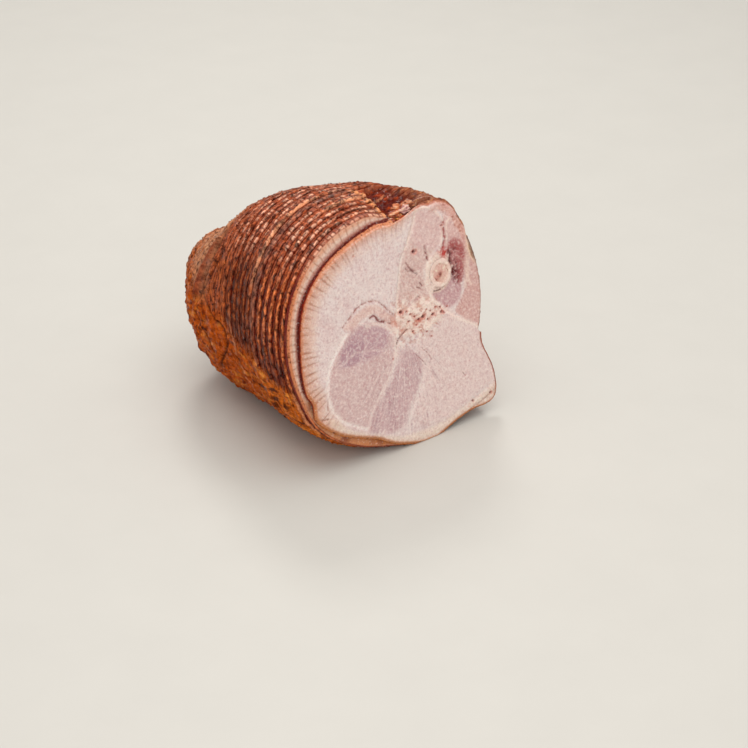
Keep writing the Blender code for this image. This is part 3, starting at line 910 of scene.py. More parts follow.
def crust_colours(place, ham):
    """Colours of the crust, from the burgundy slices at the front to the baked skin of the shank."""
    paint = Paint(len(place.angle), ham.crust_colour)
    around, distance, turn, share, score = place.around, place.distance, place.turn, place.share, place.score
    broad, middle, fine = place.broad, place.middle, place.fine
    rind, recess, top_right = place.rind, place.recess, place.top_right
    open_grain = 1 - place.rough
    top = between(around, 70, 136, 30)
    left = between(around, 140, 232, 24)
    front = 1 - ease((turn - 4.5) / 4.0)
    rear = ease((distance - 94 + 10 * broad) / 20)
    # Surfaces of the slices, between their cut edges.
    paint.layers(
        (96, 36, 20, 0.66 * ease(1.3 * broad + 0.26)),
        (182, 90, 46, 0.60 * ease(-1.6 * middle + 0.05)),
        (152, 72, 46, 0.6 * top * (1 - rear)),
    )
    paint.over(ham.glaze_colour, 0.92 * left * front)
    side = left * (1 - front) * (1 - rear)
    sheen = between(distance, 34, 70, 16) * between(around, 120, 190, 24) * (1 - rind)
    # Pale front edges, broken by the scores: pale fat with painted highlight where the edges catch the light.
    edge = bump(share - 0.22, 0.15 - 0.02 * left)
    edge = edge * (1 - 0.8 * place.smooth) * open_grain * (1 - 0.6 * rear)
    dash_and_highlight = edge * (1 - score) * ease(1.9 * luck(place.cell, 1) - 0.2) * ease(1.2 * fine + 0.9)
    painted_highlight = edge * ease(0.9 + 0.9 * fine) * (1 - 0.25 * score)
    # Painted shade and sheen low on the left: fewer lit edges there, and a mauve-brown sheen over the slices.
    low_shade_and_sheen = between(around, 174, 236, 20) * (1 - ease((2.6 - turn) / 0.8))
    paint.layers(
        (78, 23, 12, 0.9 * side),
        (164, 70, 32, 0.60 * side * ease(-2.6 * middle - 0.5)),
        (196, 104, 64, 0.45 * side * ease(2.6 * place.scratch - 1.1)),
        # Painted sheen of the studio light on the dark slices of the left side.
        (132, 92, 86, 0.5 * sheen * ease(2.0 * fine)),
        (170, 88, 46, 0.6 * left * rear * ease(0.6 - 1.5 * middle)),
        (132, 86, 72, 0.75 * place.smooth * ease(0.9 + fine)),
        # Pinkish dashes on the crowns at the top: pale fat and painted highlight.
        (242, 186, 156, 0.9 * dash_and_highlight * top),
        # Orange front edges on the left: pale fat and painted highlight, weaker in the painted shade low on
        # the left.
        (236, 134, 80, (0.20 + 0.76 * front) * painted_highlight * left * (1 - 0.7 * low_shade_and_sheen)),
        # Mauve-brown painted sheen and shade on the slices low on the left.
        (104, 62, 54, 0.55 * low_shade_and_sheen * open_grain * (1 - rear) * ease(0.6 + fine)),
        (56, 20, 14, 0.6 * open_grain * score * place.crown * (0.3 + 0.7 * top)),
        (54, 18, 12, 0.65 * ease(2.4 * fine - 0.8)),
    )
    # Rind along the bottom, the rough top, the recess and the slices that stand proud.
    paint.over(ham.rind_colour, 0.95 * rind)
    wrinkle = fractal(place.base * (1, 0.3, 1), 5.0, 16)
    front_bounce_light = rind * (1 - ease((distance - 30) / 60))
    pale_edge_highlight = np.clip(place.proud / 1.2, 0, 1) * (1 - ease((share - 0.05) / 0.3))
    paint.layers(
        # Painted bounce light: the rind brighter near the butt face.
        (222, 118, 36, 0.7 * front_bounce_light),
        (122, 38, 2, 0.85 * rind * ease(2.0 * middle)),
        # Golden wrinkle marks on the rind: painted highlight, stronger near the butt face.
        (244, 156, 70, (0.4 + 0.6 * front_bounce_light) * rind * ease(-2.6 * wrinkle - 0.2)),
        (70, 20, 2, 0.9 * rind * ease(2.4 * wrinkle + 1.6 * broad - 0.4)),
        (140, 78, 50, 0.85 * top_right),
        (222, 152, 104, 0.7 * top_right * ease(1.6 * fine + 1.2 * middle - 0.1)),
        (54, 24, 18, 0.7 * top_right * ease(-2.0 * fine - 0.8 * middle - 0.4)),
        # The recess: glaze darkened with painted shade, with painted orange glints on its lumps.
        (92, 18, 6, 0.97 * recess),
        (196, 76, 28, 0.75 * recess * ease(2.6 * middle - 0.2)),
        (44, 6, 2, 0.7 * recess * ease(-2.4 * fine - 0.6)),
        (226, 150, 98, 0.85 * place.bank * (1 - recess)),
        # Pale edges of the proud slices: pale fat with painted highlight.
        (236, 164, 122, 0.9 * pale_edge_highlight * ease(0.9 + 1.2 * fine)),
        (40, 18, 14, 0.75 * place.crumbs * (1 - 0.6 * rind)),
    )
    # Painted shade along the folds and creases.
    paint.layers(*((*colour, 0.9 * near) for colour, _, near in place.fold_lines()))
    return paint


def pale_slice_colours(paint, place, dark_top):
    """The front slices' rims on the left: an orange edge and dark glaze behind it, at the top by a share."""
    pale = between(place.around, 76, 208, 10)
    low = ease((place.around - 122) / 24)
    begins = 0.52 - (0.16 + 0.14 * dark_top) * low
    glaze = ease((place.share + 0.07 * place.middle + 0.05 * place.fine - begins) / 0.14 + 0.5)
    amount = pale * (dark_top + (1 - dark_top) * low)
    paint.layers(
        (204, 128, 88, 0.8 * amount * (1 - glaze)),
        (122, 22, 8, 0.95 * amount * glaze),
        (64, 12, 6, 0.6 * amount * glaze * ease(1.5 * place.middle + 0.2)),
        (186, 96, 56, 0.5 * amount * glaze * ease(2.4 * place.scratch - 0.9)),
    )


def cut_colours(paint, place, strength):
    """Burgundy glaze on the walls of the spiral cut, with painted shade that darkens it with depth."""
    paint.layers(
        (120, 30, 16, strength * ease((place.inset - 0.2) / 0.6)),
        (58, 12, 8, strength * ease((place.inset - 0.9) / 1.6)),
    )


# ------------------------------------------------------------ Pieces of the ham

def front_face(ham, turns, angles):
    """Rings of the butt face and its rounded edge: points, depth, paint, and how far in from the rim."""
    rear = SLICE * (turns + 1) - ham.cut_width / 2
    rim = skin(0.0, angles, -ham.rim_edge - front_drawn_in(angles), front_slip(turns))[:, [0, 2]]
    radius = np.hypot(*(rim - FACE_MIDDLE).T)
    spoke = (rim - FACE_MIDDLE) / radius[:, None]
    bare = laid_bare_depth(rim)
    top_right = between(wrapped(angles), 24, 66, 10)
    thin = 0.35 * np.maximum(rear - bare, THINNEST_RIM) * (1 + 0.8 * top_right)
    rounding = np.minimum(1.1 + 2.0 * top_right, thin)
    flat_reach = FACE_SHARES[:, None] * (radius - rounding)
    corner = np.radians(np.linspace(0, 90, CORNER_ROWS + 1)[1:])[:, None]
    reach = np.vstack([flat_reach, radius - rounding * (1 - np.sin(corner))])
    bend = np.vstack([0 * flat_reach, rounding * (1 - np.cos(corner))])
    flat = (FACE_MIDDLE + reach[..., None] * spoke).reshape(-1, 2)
    inward = (radius - reach).ravel()
    depth, paint = butt_face(flat, inward, ham)
    fine = grain(flat, 3.0, 2.2, 40)
    ticks = rim_of_face(paint, inward, np.tile(angles, len(reach)), fine, ham)
    depth += 0.10 * fine + 0.22 * grain(flat, 6.0, 9.0, 41) + 0.35 * ticks
    # The bone stands in a well, and the laid-bare part of the rim keeps its own depth.
    well = 1 - ease((np.hypot(*(flat - BONE_AT).T) - BONE_RADIUS + 1.0) / 0.8 + 0.5)
    depth = depth * (1 - well) + WELL_DEPTH * well
    settle = ease(inward / 6)
    depth = depth * (0.35 + 0.65 * settle) + 0.65 * (1 - settle) * np.tile(bare, len(reach))
    return np.stack([flat[:, 0], depth + bend.ravel(), flat[:, 1]], 1), depth, paint, inward


def front_rim(ham, turns, angles, start):
    """Rows over the front slice's crown and down its rear wall: places, points and paint."""
    end = SLICE * (turns + 1) - ham.cut_width / 2 - REAR_WALL[-1][0]
    across = np.linspace(0, 1, CROWN_ROWS + 1)[1:, None]
    height = (ham.rim_crown + ham.rim_edge) * (1 - (2 * across - 1) ** 2)
    wall = np.array(REAR_WALL)
    distance = np.vstack([start + across * (end - start), end + wall[:, :1]])
    inset = np.vstack([-height, wall[:, 1:]])
    share = np.vstack([across, 1 + 0 * wall[:, :1]])
    place = Outside(distance, angles, turns, share, inset + ham.rim_edge, front_slip(turns))
    relief = place.relief() * 0.6 - 0.4 * place.inset - front_drawn_in(place.angle)
    colours = crust_colours(place, ham)
    pale_slice_colours(colours, place, 1.0)
    bottom = between(place.around, 205, 318, 14)
    colours.over(shade(176, 98, 44), 0.8 * bottom)
    colours.over(shade(214, 150, 96), 0.5 * bottom * (1 - ease(place.share / 0.5)))
    cut_colours(colours, place, 1.0)
    overhang = between(wrapped(place.angle), -80, 62, 24) * ease((place.inset - 1.6) / 1.0)
    colours.over(shade(214, 176, 166), 0.95 * overhang)
    return place, skin(place.distance, place.angle, relief, place.slip), colours


def make_front_slice(ham):
    """The whole butt face, with the crusted rim and the rear wall of the slice behind it."""
    turns = WEDGE_END - 1 + np.arange(FACE_COLUMNS) / FACE_COLUMNS
    angles = turn_angle(turns)
    face, depth, paint, inward = front_face(ham, turns, angles)
    place, rim, colours = front_rim(ham, turns, angles, face[-FACE_COLUMNS:, 1])
    middle = (FACE_MIDDLE[0], depth[:FACE_COLUMNS].mean(), FACE_MIDDLE[1])
    points = np.vstack([face, rim, middle])
    tints = np.vstack([paint.colours, colours.colours, paint.colours[:1]])
    masks = {
        "crust": np.concatenate([0 * inward, ease(place.share * 6), [0]]),
        "rough": np.concatenate([0 * inward, place.rough, [0]]),
    }
    flow = np.vstack([face * (1, 0, 1), place.flow(), np.zeros(3)])
    face_rows = len(face) // FACE_COLUMNS
    rim_rows = len(rim) // FACE_COLUMNS
    numbers = ring_numbers(face_rows + rim_rows, FACE_COLUMNS)
    pattern = disc(np.concatenate([
        0.44 * FACE_SHARES,
        np.linspace(0.441, 0.45, CORNER_ROWS),
        0.45 + 0.045 * np.arange(1, rim_rows + 1) / rim_rows,
    ]), angles)
    weave = Weave()
    weave.fan(len(points) - 1, numbers[0], (0.5, 0.5), pattern[0])
    weave.join(numbers[:face_rows], pattern[:face_rows])
    # The rim is open where the spiral cut passes out of it.
    weave.join(numbers[face_rows - 1:, :-1], pattern[face_rows - 1:, :-1])
    piece("ham_front_slice", points, weave, tints, masks, flow, "cut meat", "ham_meat")


def make_slices(ham, name, first, last):
    """Slices from one turn of the spiral cut to another, as one lattice that winds round the ham."""
    count = int(round((last - first) * BAND_COLUMNS))
    turns = first + np.arange(count + 1) / BAND_COLUMNS
    rows = np.array(SLICE_ROWS)
    # One more turn of the first row closes the last slice.
    tail = turns[-1] + np.arange(1, BAND_COLUMNS + 1) / BAND_COLUMNS
    turn = np.append(np.repeat(turns, len(rows)), tail)
    share, past, inset = (np.append(np.tile(row, len(turns)), np.full(len(tail), row[0])) for row in rows.T)
    cut = turn + share
    distance = SLICE * cut + past
    place = Outside(distance, turn_angle(turn), turn, (share * SLICE + past) / SLICE, inset)
    strength = opening(cut, place)
    place.inset = place.inset * strength
    place.crown = place.crown * strength
    points = skin(distance, place.angle, place.relief())
    colours = crust_colours(place, ham)
    cut_colours(colours, place, np.clip(strength * 1.3, 0, 1))
    numbers = np.arange(len(turns) * len(rows)).reshape(len(turns), len(rows))
    bottoms = np.append(numbers[:, 0], numbers.size + np.arange(len(tail)))
    numbers = np.hstack([numbers, bottoms[BAND_COLUMNS:BAND_COLUMNS + len(turns), None]]).T
    weave = Weave()
    weave.join_strips(numbers, BAND_COLUMNS // 2)
    masks = {"crust": np.ones(len(points)), "rough": place.rough}
    piece(name, points, weave, colours.colours, masks, place.flow(), "glazed crust", "ham_meat")


def make_second_slice(ham):
    """The slice behind the front one, whose bare front shows where the front one has slipped."""
    turns = WEDGE_END + np.arange(BAND_COLUMNS + 1) / BAND_COLUMNS
    angles = turn_angle(turns)
    half = ham.cut_width / 2
    rows = [(half, inset) for inset in np.linspace(BARE_WALL_DEPTH, 1.2, 26)]
    rows += [(half + 0.1, 0.7), (half + 0.3, 0.3), (half + 0.7, 0.0), *SECOND_SLICE_ROWS]
    past, inset = np.array(rows).T[..., None]
    distance = SLICE * turns + past
    place = Outside(distance, angles, turns, past / SLICE, inset)
    inset, broad, middle, fine = place.inset, place.broad, place.middle, place.fine
    wall = (place.share < 0.1) & (inset > 0.2)
    relief = np.where(wall, 0.2 * broad - inset, place.relief() * 0.7 - 0.3 * inset)
    relief += 1.6 * between(wrapped(place.angle), 24, 44, 8) * (inset < 3)
    points = skin(place.distance, place.angle, relief)
    points[:, 1] += np.where(wall, 0.25 * middle + 0.1 * fine, 0)
    colours = crust_colours(place, ham)
    pale_slice_colours(colours, place, 0.0)
    cut_colours(colours, place, (place.share > 0.5) * 1.0)
    bare = wall * ease((inset - 0.3) / 1.0)
    shown = front_drawn_in(place.angle) - FRONT_SLIP * np.cos(np.radians(place.angle))
    inward = inset / np.maximum(shown, 1)
    under = bare * between(place.around, 198, 330, 14)
    behind = bare * between(wrapped(place.angle), -4, 66, 12)
    colours.layers(
        (222, 168, 138, bare),
        (230, 200, 180, bare * ease((inward - 0.25) / 0.3)),
        # Painted shade toward the front slice: pinkish, then dark red in the shadow under its rim.
        (202, 142, 124, bare * ease((inward - 0.55) / 0.3)),
        (116, 22, 12, 0.95 * bare * ease((inward - 0.8) / 0.22)),
        (162, 98, 68, 0.75 * bare * rim_ticks(place.angle, inset)),
        (200, 124, 66, 0.9 * under * ease(1.4 + 1.4 * middle)),
        # Cream patches low on the left: pale fat and painted highlight.
        (232, 184, 146, 0.7 * under * between(place.around, 200, 222, 10) * ease(1.8 * middle + 0.3)),
        (132, 58, 24, 0.8 * under * ease(2.4 * broad + 1.2 * middle - 0.1)),
        (152, 88, 58, 0.9 * behind),
        (218, 154, 104, 0.7 * behind * ease(2.0 * middle + 0.8 * fine)),
        (84, 38, 26, 0.75 * behind * ease(-2.0 * middle - 1.4 * fine - 0.2)),
    )
    weave = Weave()
    weave.join_strips(np.arange(distance.size).reshape(distance.shape), BAND_COLUMNS // 4)
    masks = {"crust": 1 - bare, "rough": place.rough}
    flow = place.flow()
    piece("ham_second_slice", points, weave, colours.colours, masks, flow, "cut meat", "ham_meat")


# Baked skin of the shank, and the roll of skin past the crease.
SHANK_SKIN_FROM = 128.0
ROLL_BEYOND, ROLL_WIDTH, ROLL_HEIGHT = 6.5, 3.6, 1.8


def make_shank(ham):
    """The uncut shank end behind the last slice, domed at its far end."""
    turns = TURNS - 1 + np.arange(SHANK_COLUMNS) / SHANK_COLUMNS
    angles = turn_angle(turns)
    start = SLICE * (turns - ease((turns - TURNS + 0.1) / 0.1))
    distance = start + np.linspace(0, 1, SHANK_ROWS)[:, None] * (SHANK_CAP[0][0] - start)
    distance[0] -= 1.5
    distance[1] -= 0.6
    cap_distance, cap_size = np.array(SHANK_CAP).T
    knots = np.linspace(0, 1, len(SHANK_CAP))
    steps = np.linspace(0, 1, CAP_ROWS + 1)[1:, None]
    size = np.vstack([np.ones_like(distance), smooth_at(steps, knots, cap_size) + 0 * start])
    distance = np.vstack([distance, smooth_at(steps, knots, cap_distance) + 0 * start])
    place = Outside(distance, angles, turns + 1.0, 0.5, 0.0, 0.0, size)
    size = size.ravel()
    on_shank = ease((place.distance - SHANK_SKIN_FROM) / 12)
    beyond = crease(place.distance, place.angle)[0]
    shown = between(place.around, 128, 164, 16)
    roll = shown * bump(beyond - ROLL_BEYOND, ROLL_WIDTH)
    fibres = lumps(place.base * (1, 0.35, 1), 2.6, 30)
    crumple = fractal(place.base, 11.0, 32)
    ragged = fractal(place.base, 4.5, 33)
    relief = place.relief() + on_shank * (2.0 * crumple + 0.6 * fibres + 0.8 * ragged) * (1 - 0.7 * roll)
    relief += ROLL_HEIGHT * roll
    # The start is tucked under the last slice, or down the cut where that is still open.
    tucked = ease((SLICE * (place.turn - 1) - place.distance) / 0.8)
    relief -= tucked * (1.0 + 6.0 * opening(place.turn - 1, place))
    shrunk = skin(place.distance, place.angle, relief * size, 0.0, size)
    points = np.where(size[:, None] < 1, shrunk, skin(place.distance, place.angle, relief))
    points[:, 1] += np.where(size < 1, relief * (1 - size), 0)
    colours = crust_colours(place, ham)
    skin_share = on_shank * (1 - place.rind)
    colours.over(ham.shank_colour, 0.85 * skin_share)
    colours.layers(
        (224, 168, 126, skin_share * 0.7 * ease(1.4 * ragged + 1.0 * crumple + 0.4 * fibres)),
        (94, 48, 30, skin_share * 0.75 * ease(-1.6 * fibres - 1.2 * ragged - 0.2)),
        (184, 90, 38, skin_share * 0.75 * ease(1.8 * crumple + 0.8 * place.broad - 0.1)),
        (52, 24, 18, 0.8 * on_shank * place.crumbs),
        (132, 58, 36, 0.85 * roll),
        # Painted shade in the crease before the roll.
        (66, 24, 16, 0.9 * shown * bump(beyond - 0.5, 1.6)),
    )
    points = np.vstack([points, points[-SHANK_COLUMNS:].mean(0)])
    tints = np.vstack([colours.colours, colours.colours[-1:]])
    numbers = ring_numbers(SHANK_ROWS + CAP_ROWS, SHANK_COLUMNS)
    pattern = disc(np.linspace(0.49, 0.02, len(numbers)), angles)
    weave = Weave()
    weave.join(numbers, pattern)
    weave.fan(len(points) - 1, numbers[-1], (0.5, 0.5), pattern[-1])
    flow = np.vstack([place.flow(1.5), [[0, 0, 0]]])
    masks = {"crust": np.ones(len(points)), "rough": np.append(place.rough, 1)}
    piece("ham_shank", points, weave, tints, masks, flow, "glazed crust", "ham_meat")


# Torn scraps of fat at the notch: place, half its size along x, y and z, colour and colour of its streaks.
SCRAPS = (
    ((10, 7, 176), (6.5, 5.0, 3.6), (214, 140, 74), (150, 70, 30)),
    ((17, 9, 172.5), (6.0, 5.0, 3.0), (226, 168, 110), (176, 96, 50)),
    ((6, 9, 181), (4.5, 4.0, 3.0), (196, 104, 56), (120, 44, 22)),
    ((16, 9, 181), (5.5, 4.5, 4.0), (206, 158, 146), (148, 92, 92)),
    ((22, 11, 178), (3.5, 5.0, 4.5), (120, 44, 30), (70, 18, 12)),
    ((13, 12, 184), (5.0, 4.0, 3.0), (198, 110, 60), (118, 44, 20)),
    ((1, 7, 177.5), (3.5, 4.0, 2.6), (150, 64, 36), (90, 26, 14)),
    ((22, 8, 171.5), (4.0, 4.0, 2.6), (232, 178, 104), (190, 112, 52)),
    ((24, 12, 184), (5.0, 4.0, 3.4), (188, 112, 72), (110, 48, 28)),
)
SCRAPS_SUNK = 1.2


def make_fat_scraps():
    """Scraps of torn fat at the notch where the spiral starts, each a dome buried in the meat."""
    columns, rings = 56, 30
    turn = np.arange(columns) * 2 * math.pi / columns
    fall = np.radians(np.linspace(2, 150, rings))[:, None]
    dome = np.stack([np.sin(fall) * np.cos(turn), np.sin(fall) * np.sin(turn), np.cos(fall) + 0 * turn], -1)
    dome = np.vstack([dome.reshape(-1, 3), [[0, 0, 1]]])
    numbers = ring_numbers(rings, columns)
    ring = disc(np.linspace(0.01, 0.15, rings), np.degrees(turn)) - 0.5
    points, tints, weave = [], [], Weave()
    for k, (middle, size, colour, streak) in enumerate(SCRAPS):
        ball = dome * size
        ragged = fractal(ball, 5.0, 70 + k)
        torn = lumps(ball * (0.5, 0.5, 1.6), 2.0, 80 + k)
        spot = middle - np.array((0, 0, SCRAPS_SUNK)) + ball * (1 + 0.60 * ragged + 0.28 * torn)[:, None]
        paint = Paint(len(spot), shade(*colour))
        paint.over(shade(*streak), 0.9 * ease(-1.8 * ragged - 1.4 * torn + 0.3))
        paint.over(shade(244, 206, 166), 0.5 * ease(2.4 * torn - 0.6))
        flat = ring + (0.17 + 0.33 * (k % 3), 0.17 + 0.33 * (k // 3))
        first = k * len(dome)
        weave.join(numbers + first, flat)
        weave.fan(first + len(dome) - 1, numbers[0] + first, flat[0].mean(0), flat[0])
        points.append(spot)
        tints.append(paint.colours)
    points, tints = np.vstack(points), np.vstack(tints)
    masks = {"crust": np.full(len(points), 0.25), "rough": np.ones(len(points))}
    piece("ham_fat_scraps", points, weave, tints, masks, points, "cut meat", "ham_meat")


# Rows over the sawn bone: share of the way from its outside to the marrow, and mm back from the face.
BONE_ROWS = (
    (0, 8.0), (0, 1.6), (0.04, 0.5), (0.12, 0.1), (0.25, 0), (0.4, 0), (0.55, 0), (0.7, 0), (0.82, 0.05),
    (0.92, 0.2), (1.0, 0.6), (1.0, 2.0), (1.0, 8.0),
)
VESSEL = ((37, 125), (34.7, 123.2), (32.8, 122), (31, 120.6))


def rings_at_bone(radius, turn):
    """Points of rings round the bone's middle."""
    x, z = BONE_AT[0] + radius * np.cos(turn), BONE_AT[1] + radius * np.sin(turn)
    return np.stack([x, 0 * radius, z], -1).reshape(-1, 3)


def ring_piece(name, points, paint, columns, node, filled=False):
    """A piece of closed rings of points, filled at its middle or open there."""
    numbers = ring_numbers(len(points) // columns, columns)
    pattern = disc(np.linspace(0.05, 0.48, len(numbers)), np.arange(columns) * 360 / columns)
    weave = Weave()
    weave.join(numbers, pattern)
    if filled:
        weave.fan(len(points), numbers[0], (0.5, 0.5), pattern[0])
        points = np.vstack([points, points[:columns].mean(0)])
        paint.colours = np.vstack([paint.colours, paint.colours[:1]])
    piece(name, points, weave, paint.colours, {}, points, "sawn bone", node)


def make_bone(ham):
    """The sawn ring of bone, uneven outside and spongy inside."""
    columns = 160
    turn = np.arange(columns) * 2 * math.pi / columns
    circle = np.stack([np.cos(turn), np.zeros(columns), np.sin(turn)], -1)
    outer = BONE_RADIUS + 0.2 + 0.6 * lumps(circle * 2.2, 1.0, 50)
    inner = MARROW_RADIUS + 0.5 + 0.7 * lumps(circle * 3.5, 1.0, 51)
    share, back = np.array(BONE_ROWS).T[..., None]
    flat = rings_at_bone(outer + share * (inner - outer), turn)
    edge, back = (np.repeat(rows, columns) for rows in (share, back))
    pits = lumps(flat, 1.3, 52)
    flat[:, 1] = back - 0.25 + 0.22 * pits
    paint = Paint(len(flat), ham.bone_colour)
    shadow = ease(2.2 * np.cos(turn - math.radians(150)) - 0.3)
    bloody = ease(2 * np.tile(np.cos(turn), len(share)) - 1.0) * (1 - ease((edge - 0.1) / 0.3))
    paint.layers(
        (222, 184, 168, 0.6 * ease(1.5 * lumps(flat, 4.0, 53))),
        (246, 232, 214, 0.6 * ease(-1.5 * lumps(flat, 3.0, 54))),
        (128, 92, 76, 0.8 * np.tile(shadow, len(share)) * bump(edge - 0.06, 0.09)),
        (160, 92, 82, 0.8 * bloody),
        (214, 172, 150, 0.5 * bump(edge - 1, 0.2) * ease(1.5 + pits)),
        (178, 124, 104, 0.6 * ease((edge - 0.6) / 0.3) * ease(-2.5 * pits - 0.4)),
        (190, 130, 106, 0.7 * ease((back - 0.4) / 1.5)),
    )
    ring_piece("ham_bone", flat, paint, columns, "bone")


def make_marrow(ham):
    """The spongy pinkish core of the bone, with a brown spot where a vessel was cut."""
    columns = 96
    turn = np.arange(columns) * 2 * math.pi / columns
    share = np.append(np.linspace(0.04, 1, 16), [1.04, 1.04])[:, None]
    back = np.append(np.zeros(15), [0.15, 1.0, 6.0])
    flat = rings_at_bone(share * (MARROW_RADIUS + 0.9) + 0 * turn, turn)
    sponge = lumps(flat, 1.1, 60)
    flat[:, 1] = np.repeat(back, columns) + 0.35 + 0.3 * sponge
    paint = Paint(len(flat), ham.marrow_colour)
    vessel = line_distance(flat[:, [0, 2]], smooth_line(VESSEL), 6)
    paint.layers(
        (236, 220, 196, 0.8 * ease(1.8 * lumps(flat, 3.0, 61) + 0.1)),
        (206, 138, 128, 0.7 * ease(-2.2 * sponge - 0.1)),
        (196, 114, 96, 0.85 * bump(vessel, 3.0) * ease(0.7 + sponge)),
        (112, 32, 20, 0.95 * bump(vessel, 1.6) * ease(0.8 + 1.5 * lumps(flat, 1.6, 62))),
    )
    ring_piece("ham_marrow", flat, paint, columns, "marrow", filled=True)


# ------------------------------------------------------------ Finishes

class Value:
    """A socket that can be used in sums; every sum adds a Math node."""

    def __init__(self, finish, socket):
        self.finish = finish
        self.socket = socket

    def sum(self, operation, first, second):
        return self.finish.node("ShaderNodeMath", {"operation": operation}, {0: first, 1: second})

    def __add__(self, other):
        return self.sum("ADD", self, other)

    def __radd__(self, other):
        return self.sum("ADD", other, self)

    def __sub__(self, other):
        return self.sum("SUBTRACT", self, other)

    def __rsub__(self, other):
        return self.sum("SUBTRACT", other, self)

    def __mul__(self, other):
        return self.sum("MULTIPLY", self, other)

    def __rmul__(self, other):
        return self.sum("MULTIPLY", other, self)


class Finish:
    """A material in the making."""

    def __init__(self, name):
        self.material = bpy.data.materials.new(name)
        self.material.use_nodes = True
        self.tree = self.material.node_tree
        self.shader = self.tree.nodes["Principled BSDF"]

    def node(self, kind, settings=None, sockets=None, output=0):
        """Adds a node, sets it up, feeds its sockets and gives one of its outputs."""
        node = self.tree.nodes.new(kind)
        for name, setting in (settings or {}).items():
            setattr(node, name, setting)
        for name, value in (sockets or {}).items():
            self.feed(node.inputs[name], value)
        return Value(self, node.outputs[output])

    def feed(self, socket, value):
        if isinstance(value, Value):
            self.tree.links.new(value.socket, socket)
        else:
            socket.default_value = value

    def set(self, **inputs):
        """Feeds the surface shader, by the names of its sockets with _ for a space."""
        for name, value in inputs.items():
            self.feed(self.shader.inputs[name.replace("_", " ")], value)

    def attribute(self, name, output="Fac"):
        return self.node("ShaderNodeAttribute", {"attribute_name": name}, output=output)

    def noise(self, size, detail=2.0, roughness=0.6, flow=None):
        """Noise with lumps of a size in mm, from 0 to 1, over the piece or along its flow."""
        place = flow or self.node("ShaderNodeTexCoord", output="Object")
        scale = 1 / size if flow else 1 / (size * MM)
        place = self.node("ShaderNodeVectorMath", {"operation": "MULTIPLY"}, {0: place, 1: (scale,) * 3})
        sockets = {"Vector": place, "Scale": 1.0, "Detail": detail, "Roughness": roughness}
        return self.node("ShaderNodeTexNoise", sockets=sockets)

    def steps(self, value, low, high):
        """Goes from 0 to 1 as the value goes from low to high."""
        sockets = {"Value": value, "From Min": low, "From Max": high}
        return self.node("ShaderNodeMapRange", {"interpolation_type": "SMOOTHSTEP"}, sockets)

    def mix(self, first, second, amount, blend="MIX"):
        """Colours mixed by an amount."""
        settings = {"data_type": "RGBA", "blend_type": blend}
        return self.node("ShaderNodeMix", settings, {0: amount, 6: first, 7: second}, output=2)

    def bump(self, height, distance, strength=1.0):
        sockets = {"Height": height, "Distance": distance * MM, "Strength": strength}
        return self.node("ShaderNodeBump", sockets=sockets)


def opaque(colour):
    return (*colour, 1.0)


def meat_finish(finish):
    """Moist cut meat: fine grain over the painted colour, and dark flecks where the rim is browned."""
    tint = finish.attribute("tint", "Color")
    crust = finish.attribute("crust")
    grain_noise = finish.noise(1.5, 3.0)
    fibre = finish.noise(0.7, 2.0)
    light = finish.steps(grain_noise, 0.52, 0.70)
    dark = finish.steps(grain_noise, 0.48, 0.32)
    colour = finish.mix(tint, opaque(shade(248, 234, 226)), light * (1 - crust) * 0.34)
    shadow = finish.mix(opaque(shade(178, 116, 120)), opaque(shade(40, 12, 8)), crust)
    colour = finish.mix(colour, shadow, dark * (0.36 + crust * 0.4))
    wet = finish.noise(5.0, 2.0)
    normal = finish.bump(grain_noise * 0.6 + fibre * 0.4, 0.45, 0.7)
    finish.set(Base_Color=colour, Roughness=0.34 + wet * 0.22, Normal=normal)
    finish.set(Subsurface_Weight=0.10, Subsurface_Radius=(1.0, 0.4, 0.3), Subsurface_Scale=3.0 * MM)
    finish.set(Specular_IOR_Level=0.08, Coat_Weight=0.32 - crust * 0.24, Coat_Roughness=0.3)


def crust_finish(finish):
    """Glazed crust: mottled with dark flecks and painted pale glints drawn out along the slices; glossy in
    patches.
    """
    tint = finish.attribute("tint", "Color")
    flow = finish.attribute("flow", "Vector")
    rough = finish.attribute("rough")
    along = finish.noise(1.8, 3.0, 0.65, flow)
    plain = finish.noise(4.6, 6.0, 0.72)
    flecks = along * (1 - rough) + plain * rough
    specks = finish.noise(1.1, 2.0, 0.6)
    patches = finish.noise(7.0, 3.0)
    dark = finish.steps(flecks, 0.49, 0.40)
    pale = finish.steps(flecks, 0.52, 0.61)
    colour = finish.mix(tint, finish.mix(tint, opaque(shade(36, 10, 6)), 0.8), dark * (0.9 - rough * 0.42))
    # Pale flecks are added on top as painted glints.
    painted_highlight = finish.mix(opaque(shade(152, 84, 26)), tint, 0.55)
    colour = finish.mix(colour, painted_highlight, pale * (0.66 - rough * 0.3), "ADD")
    colour = finish.mix(colour, opaque(shade(44, 16, 10)), finish.steps(specks, 0.58, 0.68) * 0.7)
    gloss = finish.steps(patches, 0.50, 0.62)
    normal = finish.bump(flecks * 0.7 + specks * 0.3, 1.2, 1.0)
    finish.set(Base_Color=colour, Roughness=0.50 - gloss * 0.15, Normal=normal)
    finish.set(Coat_Weight=gloss * 0.30, Coat_Roughness=0.12, Specular_IOR_Level=0.035)


def bone_finish(finish):
    """Sawn bone and marrow: fine pores over the painted colour."""
    tint = finish.attribute("tint", "Color")
    pores = finish.noise(0.9, 3.0)
    colour = finish.mix(tint, opaque(shade(168, 112, 92)), finish.steps(pores, 0.45, 0.30) * 0.4)
    finish.set(Base_Color=colour, Roughness=0.38 + pores * 0.2, Normal=finish.bump(pores, 0.3, 0.6))


FINISHES = {"cut meat": meat_finish, "glazed crust": crust_finish, "sawn bone": bone_finish}


def material(name):
    """The material of this name, made when it is first asked for."""
    if name not in bpy.data.materials:
        FINISHES[name](Finish(name))
    return bpy.data.materials[name]


